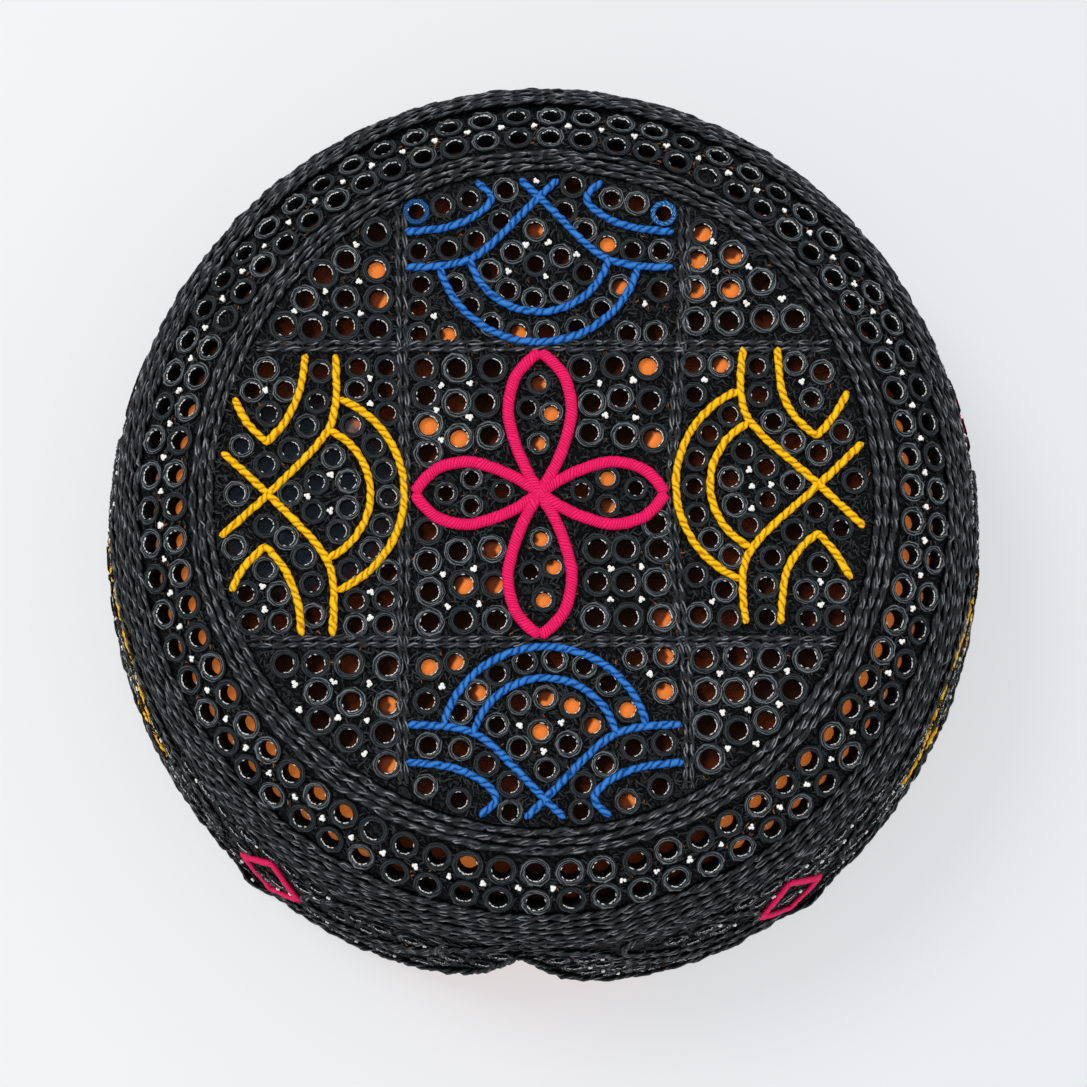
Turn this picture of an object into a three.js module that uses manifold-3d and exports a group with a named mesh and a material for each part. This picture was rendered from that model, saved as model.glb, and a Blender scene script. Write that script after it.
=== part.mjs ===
// An embroidered round cap: a flat crown, a sloped shoulder and a side band with a pointed
// opening over the forehead, with a cotton lining, stitched rope bands and raised cords.
// Millimetres, +Z up, the front towards -Y. The origin is the middle of the rim's plane.
import * as THREE from 'three';
import { LoftGeometry } from 'three/addons/geometries/LoftGeometry.js';
import { mergeVertices } from 'three/addons/utils/BufferGeometryUtils.js';
import Module from 'manifold-3d';

// Driving dimensions
const CAP_HEIGHT = 61; // rim to the top of the crown's cloth
const LENGTH_RATIO = 1.014; // front-to-back size over side-to-side size
const CLOTH = 2.4; // thickness of the stitched cloth
const LINING = 1.0;
const LINING_SEAT = CLOTH + 0.7; // from the cloth's outer face to the lining's
const LINING_FOOT = 2; // the lining ends this far above the rim
const SEAM_GAP = 0.3; // between pieces that touch
const CROWN_RADIUS = 64.2; // flat top panel
const EVEN_SECTIONS = 40; // sections around the cap outside the front crease

// Side profile of the cloth's outer face, from the crown's edge down to the rim
const PROFILE = {
  crownEdge: { z: 60.4, radius: 64.5 },
  rowA: { z: 56.7, radius: 72.3 },
  rowB: { z: 53.7, radius: 77.5 },
  shoulderEdge: { z: 51.0, radius: 80.1 },
  bandMiddle: { z: 46.2, radius: 83.5 },
  bandFoot: { z: 41.0, radius: 85.4 },
  wallMiddle: { z: 29.0, radius: 88.2 },
  wallLow: { z: 17.0, radius: 90.2 },
  rim: { z: 0.0, radius: 91.3 },
};
const STATIONS = Object.values(PROFILE);

// Crease above the peak of the front opening, where the cloth is pinched inwards
const CREASE = { bearing: -2.8, halfWidth: 6, depth: 2.4, fadeTop: 50, fadeFull: 36 };

// Front opening: half outline of its pointed arch, from the peak to the foot
const ARCH = [
  { across: 0, z: 30 },
  { across: 3, z: 25.5 },
  { across: 7, z: 20 },
  { across: 12, z: 14.5 },
  { across: 19, z: 9.5 },
  { across: 27, z: 5 },
  { across: 36, z: 0 },
];
const ARCH_CENTRE = -4.5; // across the front
const ARCH_BITE = 3; // how far the cutting shape runs below the rim
const ARCH_START = 50; // from the middle to the near end of the cutting shape

// Raised cords: width, and height above the cloth
const SATIN = { width: 2.4, height: 1.2 };
const PLAIT = { width: 1.8, height: 0.9 };
const BINDING = { width: 2.6, height: 1.2, seat: 0.45 };
const BINDING_RISE = BINDING.width / 2 + 0.4; // from an edge to the middle of its rope
const ROPE_HEIGHT = 1.2;
const CROWN_ROPES = { topZ: 60.3, footZ: 58.2, count: 3 };
const BAND_ROPES = { topZ: 50.2, footZ: 41.2, count: 4 };

// Eyelets: hole size and where they lie, one quarter of the crown at a time
const HOLE = { radius: 1.75, sides: 5 };
const FLOWER_CENTRE = { x: -0.7, y: 0 };
const CENTRE_COLUMNS = [
  { x: 10.1, firstY: 11.2, pitch: 7.0, count: 3 },
  { x: 16.3, firstY: 11.2, pitch: 7.0, count: 3 },
  { x: 22.3, firstY: 7.4, pitch: 6.0, count: 4 },
];
const CORNER_COLUMNS = [
  { x: 30.9, firstY: 33.8, pitch: 6.4, count: 4 },
  { x: 37.3, firstY: 33.6, pitch: 6.9, count: 3 },
  { x: 43.5, firstY: 33.5, pitch: 5.7, count: 3 },
  { x: 50.4, firstY: 33.4, pitch: 6.0, count: 1 },
];
const PETAL_EYELETS = [
  { along: 9.4, across: 0 },
  { along: 15.4, across: 2.3 },
  { along: 15.4, across: -2.3 },
  { along: 21.3, across: 0 },
];

// Flower: one edge of a petal, from the middle to its tip
const PETAL_EDGE = [
  { along: 5, across: 3.5 },
  { along: 10, across: 5.3 },
  { along: 16, across: 6.3 },
  { along: 22.3, across: 5.5 },
  { along: 26, across: 3.1 },
  { along: 27.6, across: 0 },
];
const SIDE_PETAL_RATIO = 0.86; // the left and right petals are shorter

// Crown motifs: out is measured from the crown's middle, across from the motif's centre line
const YELLOW_MOTIF = {
  cross: [
    { out: 41.3, across: 28.3 },
    { out: 40.8, across: 17.5 },
    { out: 43.6, across: 10.6 },
    { out: 53.7, across: 0 },
    { out: 62.8, across: -8.4 },
  ],
  hook: [
    { out: 60.6, across: 19.2 },
    { out: 58.6, across: 14.8 },
    { out: 54.0, across: 10.4 },
    { out: 50.3, across: 14.4 },
    { out: 47.8, across: 21.0 },
    { out: 47.1, across: 28.2 },
  ],
  arcs: { centre: 48.2, outerRadius: 20.7, outerHalfAngle: 68, innerRadius: 14.0, innerHalfAngle: 66 },
};
const BLUE_MOTIF = {
  cross: [
    { out: 45.4, across: 26.4 },
    { out: 45.9, across: 18.0 },
    { out: 48.6, across: 11.2 },
    { out: 59.8, across: 0 },
    { out: 63.4, across: -3.8 },
  ],
  hook: [
    { out: 63.0, across: 12.5 },
    { out: 59.6, across: 9.4 },
    { out: 56.1, across: 12.4 },
    { out: 53.6, across: 18.2 },
    { out: 52.6, across: 26.6 },
  ],
  arcs: { centre: 50.4, outerRadius: 20.2, outerHalfAngle: 76, innerRadius: 14.1, innerHalfAngle: 78 },
};
const MOTIF_SIDES = [
  { side: 'back', motif: BLUE_MOTIF, turn: 90, shift: 0.9 },
  { side: 'front', motif: BLUE_MOTIF, turn: 270, shift: 0.3 },
  { side: 'left', motif: YELLOW_MOTIF, turn: 180, shift: -0.4 },
  { side: 'right', motif: YELLOW_MOTIF, turn: 0, shift: 1.9 },
];

// Side band: five panels with a diamond between each two, counted from the front
const PANEL_ANGLE = 72;
const BAND_TURN = -2.1; // the band's front lies a little to the left of the crown's
const DIAMOND = { halfWidth: 7.2, halfHeight: 13.4, z: 20 };
const DIAMONDS = [
  { name: 'left_front_diamond', bearing: -36 },
  { name: 'right_front_diamond', bearing: 36 },
  { name: 'left_back_diamond', bearing: -108 },
  { name: 'right_back_diamond', bearing: 108 },
  { name: 'back_diamond', bearing: 180 },
];
const BAND_KNOT = {
  cross: [
    { across: -24.0, z: 19.2 },
    { across: -16.5, z: 18.6 },
    { across: -9.0, z: 13.4 },
    { across: 0, z: 7.4 },
    { across: 4.2, z: 4.6 },
  ],
  arc: { z: 10.2, radius: 20.2, halfAngle: 66 },
};
const BAND_KNOTS = [
  { name: 'left_band_knot', bearing: -PANEL_ANGLE, colour: 'yellow' },
  { name: 'right_band_knot', bearing: PANEL_ANGLE, colour: 'yellow' },
  { name: 'left_back_band_knot', bearing: -2 * PANEL_ANGLE, colour: 'blue' },
  { name: 'right_back_band_knot', bearing: 2 * PANEL_ANGLE, colour: 'blue' },
];

const wasm = await Module();
wasm.setup();

// Finishes
function thread(colour, roughness = 0.6) {
  return new THREE.MeshStandardMaterial({ color: colour, roughness, metalness: 0 });
}
const FINISH = {
  black: thread(0x26282b),
  cotton: thread(0xf0762e, 0.85),
  magenta: thread(0xe8226a),
  yellow: thread(0xf2b010),
  blue: thread(0x3276cc),
};

// Solid helpers
function toSolid(geometry) {
  const bare = new THREE.BufferGeometry().copy(geometry);
  bare.deleteAttribute('normal');
  bare.deleteAttribute('uv');
  const merged = mergeVertices(bare, 1e-3);
  return new wasm.Manifold(
    new wasm.Mesh({
      numProp: 3,
      vertProperties: new Float32Array(merged.attributes.position.array),
      triVerts: new Uint32Array(merged.index.array),
    }),
  );
}

function toGeometry(solid) {
  const mesh = solid.getMesh();
  const geometry = new THREE.BufferGeometry();
  geometry.setAttribute('position', new THREE.BufferAttribute(mesh.vertProperties, 3));
  geometry.setIndex(new THREE.BufferAttribute(mesh.triVerts, 1));
  geometry.computeVertexNormals();
  return geometry;
}

function joined(geometries) {
  return toGeometry(geometries.map(toSolid).reduce((whole, piece) => whole.add(piece)));
}

const radians = THREE.MathUtils.degToRad;

// The cap's form
// Radius of the cloth's outer face at a height
function radiusAt(z) {
  const below = STATIONS.findIndex((station) => station.z <= z);
  if (below < 0) return STATIONS.at(-1).radius;
  if (below === 0) return STATIONS[0].radius;
  const [upper, lower] = [STATIONS[below - 1], STATIONS[below]];
  return THREE.MathUtils.mapLinear(z, upper.z, lower.z, upper.radius, lower.radius);
}

// The way out of the cloth at a height: how much of it is outwards and how much upwards
function outwardAt(z) {
  const upper = Math.min(z + 1, STATIONS[0].z);
  const lower = Math.max(z - 1, 0);
  const run = new THREE.Vector2(radiusAt(lower) - radiusAt(upper), lower - upper).normalize();
  return { out: -run.y, up: run.x };
}

// How far the crease draws the cloth inwards at a bearing and height
function creaseAt(bearing, z) {
  const away = Math.abs(bearing - CREASE.bearing) / CREASE.halfWidth;
  const fade = THREE.MathUtils.clamp((CREASE.fadeTop - z) / (CREASE.fadeTop - CREASE.fadeFull), 0, 1);
  return CREASE.depth * Math.max(0, 1 - away) * fade;
}

// A point at a bearing from the front, positive to the right, a radius and a height
function around(bearing, radius, z) {
  const reach = radius - creaseAt(bearing, z);
  const angle = radians(bearing);
  return new THREE.Vector3(reach * Math.sin(angle), -LENGTH_RATIO * reach * Math.cos(angle), z);
}

// Bearings of the sections: close together across the crease, even over the rest
function ringBearings() {
  const inCrease = [-1, -0.5, 0, 0.5, 1].map((part) => CREASE.bearing + part * CREASE.halfWidth);
  const rest = 360 - 2 * CREASE.halfWidth;
  for (let i = 1; i < EVEN_SECTIONS; i++) {
    inCrease.push(CREASE.bearing + CREASE.halfWidth + (i * rest) / EVEN_SECTIONS);
  }
  return inCrease.map((bearing) => (bearing > 180 ? bearing - 360 : bearing));
}

// A closed ring whose section is a list of { radius, z } points, clockwise when out is to the right
function ring(section) {
  const sections = ringBearings().map((bearing) =>
    section.map(({ radius, z }) => around(bearing, radius, z)),
  );
  sections.push(sections[0]);
  return new LoftGeometry(sections);
}

// The profile's points moved inwards: square to the cloth, and straight down at the crown's edge
function insetProfile(stations, depth) {
  return stations.map(({ radius, z }) => {
    const before = STATIONS.findLast((station) => station.z > z);
    const after = STATIONS.find((station) => station.z < z) ?? { radius, z: z - 1 };
    if (!before) return { radius, z: z - depth };
    const run = new THREE.Vector2(after.radius - before.radius, after.z - before.z).normalize();
    return { radius: radius + run.y * depth, z: z - run.x * depth };
  });
}

// A layer of the side as a section: down its outer face and back up its inner one, level at the foot
function clothSection(stations, outerDepth, innerDepth, footZ) {
  const outer = insetProfile(stations, outerDepth);
  const inner = insetProfile(stations, innerDepth);
  if (footZ !== undefined) {
    outer.at(-1).z = footZ;
    inner.at(-1).z = footZ;
  }
  return [...outer, ...inner.reverse()];
}

// The pointed opening, widened by a margin, as a bar that runs through the front of the cap
function archCutter(margin = 0) {
  const peak = { x: 0, y: ARCH[0].z + 2 * margin };
  const side = ARCH.slice(1).map(({ across, z }) => ({ x: across + margin, y: z }));
  const foot = { x: side.at(-1).x, y: -ARCH_BITE };
  const right = [...side, foot];
  const left = right.map(({ x, y }) => ({ x: -x, y })).reverse();
  const outline = [peak, ...right, ...left].map(({ x, y }) => new THREE.Vector2(x, y));
  const bar = new THREE.ExtrudeGeometry(new THREE.Shape(outline), { depth: CAP_HEIGHT, bevelEnabled: false });
  return toSolid(bar.rotateX(Math.PI / 2).translate(ARCH_CENTRE, -ARCH_START, 0));
}

// Cords
// The flat crown as a surface for cords
function crownSurface({ x, y }) {
  return { point: new THREE.Vector3(x, y, CAP_HEIGHT), normal: new THREE.Vector3(0, 0, 1) };
}

// The side band as a surface for cords, by bearing and height
function bandSurface({ bearing, z }) {
  const { out, up } = outwardAt(z);
  const angle = radians(bearing);
  const normal = new THREE.Vector3(out * Math.sin(angle), -out * Math.cos(angle), up);
  return { point: around(bearing, radiusAt(z), z), normal };
}

// A place on the band from the distance along it, measured from a panel's centre line
function onBand(centreBearing, { across, z }) {
  const bearing = centreBearing + BAND_TURN + THREE.MathUtils.radToDeg(across / radiusAt(z));
  return { bearing: bearing > 180 ? bearing - 360 : bearing, z };
}

// A raised cord along places on a surface, flat below and rounded above
function cord(places, surface, { width, height, seat = SEAM_GAP }, closed = false) {
  const seats = places.map(surface);
  const last = seats.length - 1;
  const profile = [
    [0.5, 0],
    [-0.5, 0],
    [-0.42, 0.6],
    [0, 1],
    [0.42, 0.6],
  ];
  const sections = seats.map(({ point, normal }, i) => {
    const before = seats[closed ? (i + last) % (last + 1) : Math.max(i - 1, 0)].point;
    const after = seats[closed ? (i + 1) % (last + 1) : Math.min(i + 1, last)].point;
    const side = after.clone().sub(before).cross(normal).normalize();
    return profile.map(([across, lift]) =>
      point
        .clone()
        .addScaledVector(side, across * width)
        .addScaledVector(normal, seat + lift * height),
    );
  });
  if (closed) sections.push(sections[0]);
  return new LoftGeometry(sections, { capStart: !closed, capEnd: !closed });
}

// Points spaced along a smooth curve through a short list of { x, y }
function smooth(points, steps) {
  const curve = new THREE.SplineCurve(points.map(({ x, y }) => new THREE.Vector2(x, y)));
  return curve.getSpacedPoints(steps).map((p) => ({ x: p.x, y: p.y }));
}

// A motif's own { out, across } place on the crown
function onCrown({ turn, shift }, { out, across }) {
  const place = new THREE.Vector2(out, across + shift).rotateAround(new THREE.Vector2(), radians(turn));
  return { x: place.x, y: place.y };
}

function arcPlaces(centre, radius, halfAngle, steps) {
  return Array.from({ length: steps + 1 }, (_, i) => {
    const angle = radians(halfAngle * ((2 * i) / steps - 1));
    return { out: centre - radius * Math.cos(angle), across: radius * Math.sin(angle) };
  });
}

// Two crossing lines and two round arcs, which meet and are one piece
function motifLattice(place, { cross, arcs }) {
  const lines = [1, -1].map((way) =>
    smooth(cross.map((p) => onCrown(place, { out: p.out, across: way * p.across })), 7),
  );
  const bows = [
    arcPlaces(arcs.centre, arcs.outerRadius, arcs.outerHalfAngle, 6),
    arcPlaces(arcs.centre, arcs.innerRadius, arcs.innerHalfAngle, 5),
  ].map((bow) => bow.map((p) => onCrown(place, p)));
  return joined([...lines, ...bows].map((run) => cord(run, crownSurface, PLAIT)));
}

function motifHook(place, { hook }, way) {
  const run = smooth(hook.map((p) => onCrown(place, { out: p.out, across: way * p.across })), 5);
  return cord(run, crownSurface, PLAIT);
}

// Four petals: each cord runs from one petal's tip through the middle to the opposite tip
function flower() {
  const cords = [];
  for (const { turn, ratio } of [
    { turn: 0, ratio: SIDE_PETAL_RATIO },
    { turn: 90, ratio: 1 },
  ]) {
    for (const way of [1, -1]) {
      const out = PETAL_EDGE.map(({ along, across }) => ({ x: along * ratio, y: way * across }));
      const back = out.map(({ x, y }) => ({ x: -x, y: -y })).reverse();
      const turned = [...back, ...out].map((p) => {
        const spot = new THREE.Vector2(p.x, p.y).rotateAround(new THREE.Vector2(), radians(turn));
        return { x: FLOWER_CENTRE.x + spot.x, y: FLOWER_CENTRE.y + spot.y };
      });
      cords.push(cord(smooth(turned, 13), crownSurface, SATIN));
    }
  }
  return joined(cords);
}

// Crown
function columnEyelets(columns, centre) {
  const quarter = columns.flatMap(({ x, firstY, pitch, count }) =>
    Array.from({ length: count }, (_, i) => ({ x, y: firstY + i * pitch })),
  );
  return [1, -1].flatMap((right) =>
    [1, -1].flatMap((back) =>
      quarter.map(({ x, y }) => ({ x: centre.x + right * x, y: centre.y + back * y })),
    ),
  );
}

function petalEyelets() {
  return [0, 90, 180, 270].flatMap((turn) => {
    const ratio = turn % 180 ? 1 : SIDE_PETAL_RATIO;
    return PETAL_EYELETS.map(({ along, across }) => {
      const spot = new THREE.Vector2(along * ratio, across).rotateAround(new THREE.Vector2(), radians(turn));
      return { x: FLOWER_CENTRE.x + spot.x, y: FLOWER_CENTRE.y + spot.y };
    });
  });
}

function crownPanel() {
  const disc = new THREE.CylinderGeometry(CROWN_RADIUS, CROWN_RADIUS, CLOTH, EVEN_SECTIONS + 4);
  disc.rotateX(Math.PI / 2).translate(0, 0, CAP_HEIGHT - CLOTH / 2).scale(1, LENGTH_RATIO, 1);
  const eyelets = [
    ...columnEyelets(CENTRE_COLUMNS, FLOWER_CENTRE),
    ...columnEyelets(CORNER_COLUMNS, { x: 0, y: 0 }),
    ...petalEyelets(),
  ];
  const pins = eyelets.map(({ x, y }) => {
    const pin = new THREE.CylinderGeometry(HOLE.radius, HOLE.radius, 2 * CLOTH, HOLE.sides);
    return toSolid(pin.rotateX(Math.PI / 2).translate(x, y, CAP_HEIGHT - CLOTH / 2));
  });
  return toGeometry(pins.reduce((panel, pin) => panel.subtract(pin), toSolid(disc)));
}

// Shoulder, side band and lining
function shoulderRing() {
  const { crownEdge, rowA, rowB, shoulderEdge } = PROFILE;
  return ring(clothSection([crownEdge, rowA, rowB, shoulderEdge], 0, CLOTH));
}

function sideBand() {
  const { shoulderEdge, bandMiddle, bandFoot, wallMiddle, wallLow, rim } = PROFILE;
  const seam = { radius: shoulderEdge.radius + SEAM_GAP, z: shoulderEdge.z - SEAM_GAP };
  const band = ring(clothSection([seam, bandMiddle, bandFoot, wallMiddle, wallLow, rim], 0, CLOTH, 0));
  return toGeometry(toSolid(band).subtract(archCutter()));
}

function lining() {
  const { crownEdge, rowB, bandFoot, rim } = PROFILE;
  const foot = { radius: rim.radius, z: LINING_FOOT };
  const stations = [crownEdge, rowB, bandFoot, foot];
  const skirt = ring(clothSection(stations, LINING_SEAT, LINING_SEAT + LINING, LINING_FOOT));
  const discRadius = crownEdge.radius + 0.6;
  const disc = new THREE.CylinderGeometry(discRadius, discRadius, LINING, EVEN_SECTIONS);
  const discZ = crownEdge.z - LINING_SEAT - LINING / 2;
  disc.rotateX(Math.PI / 2).translate(0, 0, discZ).scale(1, LENGTH_RATIO, 1);
  return toGeometry(toSolid(skirt).add(toSolid(disc)).subtract(archCutter(LINING)));
}

// Rope bands and edge binding
// Ropes side by side around the cap, as one ring with a crest for each rope
function ropeBand(topZ, footZ, count) {
  const lifted = (z, lift) => {
    const { out, up } = outwardAt(z);
    return { radius: radiusAt(z) + out * lift, z: z + up * lift };
  };
  const zAt = (part) => THREE.MathUtils.lerp(topZ, footZ, part);
  const ribs = Array.from({ length: count }, (_, i) => [
    lifted(zAt((i + 0.5) / count), SEAM_GAP + ROPE_HEIGHT),
    lifted(zAt((i + 1) / count), SEAM_GAP + ROPE_HEIGHT / 3),
  ]).flat();
  ribs[ribs.length - 1] = lifted(footZ, SEAM_GAP);
  const under = STATIONS.filter(({ z }) => z < topZ - 1 && z > footZ + 1).reverse();
  return ring([lifted(topZ, SEAM_GAP), ...ribs, ...under.map(({ z }) => lifted(z, SEAM_GAP))]);
}

function crownRopes() {
  return ropeBand(CROWN_ROPES.topZ, CROWN_ROPES.footZ, CROWN_ROPES.count);
}

function bandRopes() {
  return ropeBand(BAND_ROPES.topZ, BAND_ROPES.footZ, BAND_ROPES.count);
}

// A rope that wraps the rim and runs up and over the front opening
function rimBinding() {
  const side = ARCH.slice(1).map(({ across, z }) => ({ x: across + BINDING_RISE / 2, y: z + BINDING_RISE }));
  const right = smooth([{ x: 0, y: ARCH[0].z + 2 * BINDING_RISE }, ...side], 11);
  const left = right.slice(1).map(({ x, y }) => ({ x: -x, y }));
  const overArch = [...right.reverse(), ...left].map(({ x, y }) => ({
    bearing: THREE.MathUtils.radToDeg(Math.asin((ARCH_CENTRE + x) / radiusAt(y))),
    z: y,
  }));
  const clear = 2; // degrees between the opening's feet and the next places along the rim
  const [first, last] = [overArch[0].bearing + clear, overArch.at(-1).bearing - clear];
  const alongRim = ringBearings()
    .filter((bearing) => bearing > first || bearing < last)
    .map((bearing) => ({ bearing, z: BINDING_RISE }))
    .reverse();
  return cord([...overArch, ...alongRim], bandSurface, BINDING, true);
}

// Side band motifs
function diamond(bearing) {
  const corners = [
    { across: 1, up: 0 },
    { across: 0, up: 1 },
    { across: -1, up: 0 },
    { across: 0, up: -1 },
  ];
  const places = corners.flatMap((corner, i) => {
    const next = corners[(i + 1) % 4];
    return [0, 0.5].map((part) => ({
      across: DIAMOND.halfWidth * THREE.MathUtils.lerp(corner.across, next.across, part),
      z: DIAMOND.z + DIAMOND.halfHeight * THREE.MathUtils.lerp(corner.up, next.up, part),
    }));
  });
  return cord(places.map((p) => onBand(bearing, p)), bandSurface, PLAIT, true);
}

function bandKnot(bearing) {
  const { cross, arc } = BAND_KNOT;
  const lines = [1, -1].map((way) => {
    const run = smooth(cross.map(({ across, z }) => ({ x: way * across, y: z })), 5);
    return run.map(({ x, y }) => ({ across: x, z: y }));
  });
  const bow = arcPlaces(0, arc.radius, arc.halfAngle, 6).map(({ out, across }) => ({ across, z: arc.z - out }));
  return joined(
    [...lines, bow].map((run) => cord(run.map((p) => onBand(bearing, p)), bandSurface, PLAIT)),
  );
}

// Assembly
const cap = new THREE.Group();

function addPiece(name, geometry, material) {
  const mesh = new THREE.Mesh(geometry, material);
  mesh.name = name;
  cap.add(mesh);
}

addPiece('crown_panel', crownPanel(), FINISH.black);
addPiece('shoulder_ring', shoulderRing(), FINISH.black);
addPiece('side_band', sideBand(), FINISH.black);
addPiece('lining', lining(), FINISH.cotton);
addPiece('crown_ropes', crownRopes(), FINISH.black);
addPiece('band_ropes', bandRopes(), FINISH.black);
addPiece('rim_binding', rimBinding(), FINISH.black);
addPiece('flower_cord', flower(), FINISH.magenta);
for (const place of MOTIF_SIDES) {
  const finish = place.motif === BLUE_MOTIF ? FINISH.blue : FINISH.yellow;
  addPiece(`${place.side}_motif_cord`, motifLattice(place, place.motif), finish);
  addPiece(`${place.side}_hook_cord_1`, motifHook(place, place.motif, 1), finish);
  addPiece(`${place.side}_hook_cord_2`, motifHook(place, place.motif, -1), finish);
}
for (const { name, bearing } of DIAMONDS) addPiece(name, diamond(bearing), FINISH.magenta);
for (const { name, bearing, colour } of BAND_KNOTS) addPiece(name, bandKnot(bearing), FINISH[colour]);

export default cap;
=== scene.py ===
"""The looks of an embroidered round cap: pierced cloth, bound eyelets, rope bands, cords and lining."""
import logging
import math
import random
from collections.abc import Callable, Iterable, Sequence
from dataclasses import dataclass, field, replace
from enum import Enum

import bmesh
import bpy
import numpy as np
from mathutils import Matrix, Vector, noise
from mathutils.geometry import delaunay_2d_cdt
from mathutils.kdtree import KDTree


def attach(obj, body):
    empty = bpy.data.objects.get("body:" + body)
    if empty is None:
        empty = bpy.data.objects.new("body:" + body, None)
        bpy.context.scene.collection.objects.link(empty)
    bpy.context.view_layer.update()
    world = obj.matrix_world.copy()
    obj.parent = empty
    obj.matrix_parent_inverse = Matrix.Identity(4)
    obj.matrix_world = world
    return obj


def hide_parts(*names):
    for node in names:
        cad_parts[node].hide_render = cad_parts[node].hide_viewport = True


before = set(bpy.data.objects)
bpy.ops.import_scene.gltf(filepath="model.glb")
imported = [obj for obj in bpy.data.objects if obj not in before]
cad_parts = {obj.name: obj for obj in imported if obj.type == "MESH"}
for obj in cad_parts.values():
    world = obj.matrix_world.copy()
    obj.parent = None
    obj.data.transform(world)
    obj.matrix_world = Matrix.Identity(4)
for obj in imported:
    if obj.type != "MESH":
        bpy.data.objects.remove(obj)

log = logging.getLogger("cap")

MM = 0.001
HOLE_RADIUS = 1.96
HOLE_SIDES = 12
ROW_COUNT = 70  # eyelets in one of the shoulder's rows
SEAM_BEARING = 176.24
SPREAD = 1.42  # millimetres along the side for each degree, in the flat layout
SEAM_LEFT = (SEAM_BEARING - 360) * SPREAD
SEAM_RIGHT = SEAM_BEARING * SPREAD
EDGE_STEP = 3.0
GRID_STEP = 3.2
EDGE_COUNT = 120  # places around the crown's edge, shared by the lining's two parts
SATIN_STEP = 0.00042  # metres between the places along a satin cord
Point = tuple[float, float]
Triple = tuple[float, float, float]
Seat = tuple[Vector, Vector]


class Slot(Enum):
    """The record's material slots."""

    BLACK = "black_thread"
    COTTON = "orange_cotton"
    MAGENTA = "magenta_thread"
    YELLOW = "yellow_thread"
    BLUE = "blue_thread"


# Node sheets
class Number:
    """A socket that carries one number, so that shader maths reads as plain arithmetic."""

    def __init__(self, sheet: "Sheet", socket: bpy.types.NodeSocket) -> None:
        """Keeps the sheet and the socket."""
        self.sheet = sheet
        self.socket = socket

    def _math(self, operation: str, *values: object) -> "Number":
        """Adds one Math node over the values."""
        return self.sheet.number("ShaderNodeMath", {"operation": operation}, dict(enumerate(values)))

    def __add__(self, other: object) -> "Number":
        """Sum."""
        return self._math("ADD", self, other)

    def __radd__(self, other: object) -> "Number":
        """Sum, reflected."""
        return self._math("ADD", other, self)

    def __sub__(self, other: object) -> "Number":
        """Difference."""
        return self._math("SUBTRACT", self, other)

    def __rsub__(self, other: object) -> "Number":
        """Difference, reflected."""
        return self._math("SUBTRACT", other, self)

    def __mul__(self, other: object) -> "Number":
        """Product."""
        return self._math("MULTIPLY", self, other)

    def __rmul__(self, other: object) -> "Number":
        """Product, reflected."""
        return self._math("MULTIPLY", other, self)

    def __truediv__(self, other: object) -> "Number":
        """Quotient."""
        return self._math("DIVIDE", self, other)

    def sine(self) -> "Number":
        """Sine of the number, in radians."""
        return self._math("SINE", self)

    def cosine(self) -> "Number":
        """Cosine of the number, in radians."""
        return self._math("COSINE", self)

    def size(self) -> "Number":
        """The number without its sign."""
        return self._math("ABSOLUTE", self)

    def fraction(self) -> "Number":
        """The part after the point."""
        return self._math("FRACT", self)

    def least(self, other: object) -> "Number":
        """The smaller of two numbers."""
        return self._math("MINIMUM", self, other)

    def between(self, low: float, high: float) -> "Number":
        """0 below low, 1 above high and a soft step in between."""
        ends = {"Value": self, "From Min": low, "From Max": high}
        return self.sheet.number("ShaderNodeMapRange", {"interpolation_type": "SMOOTHSTEP"}, ends)


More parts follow.
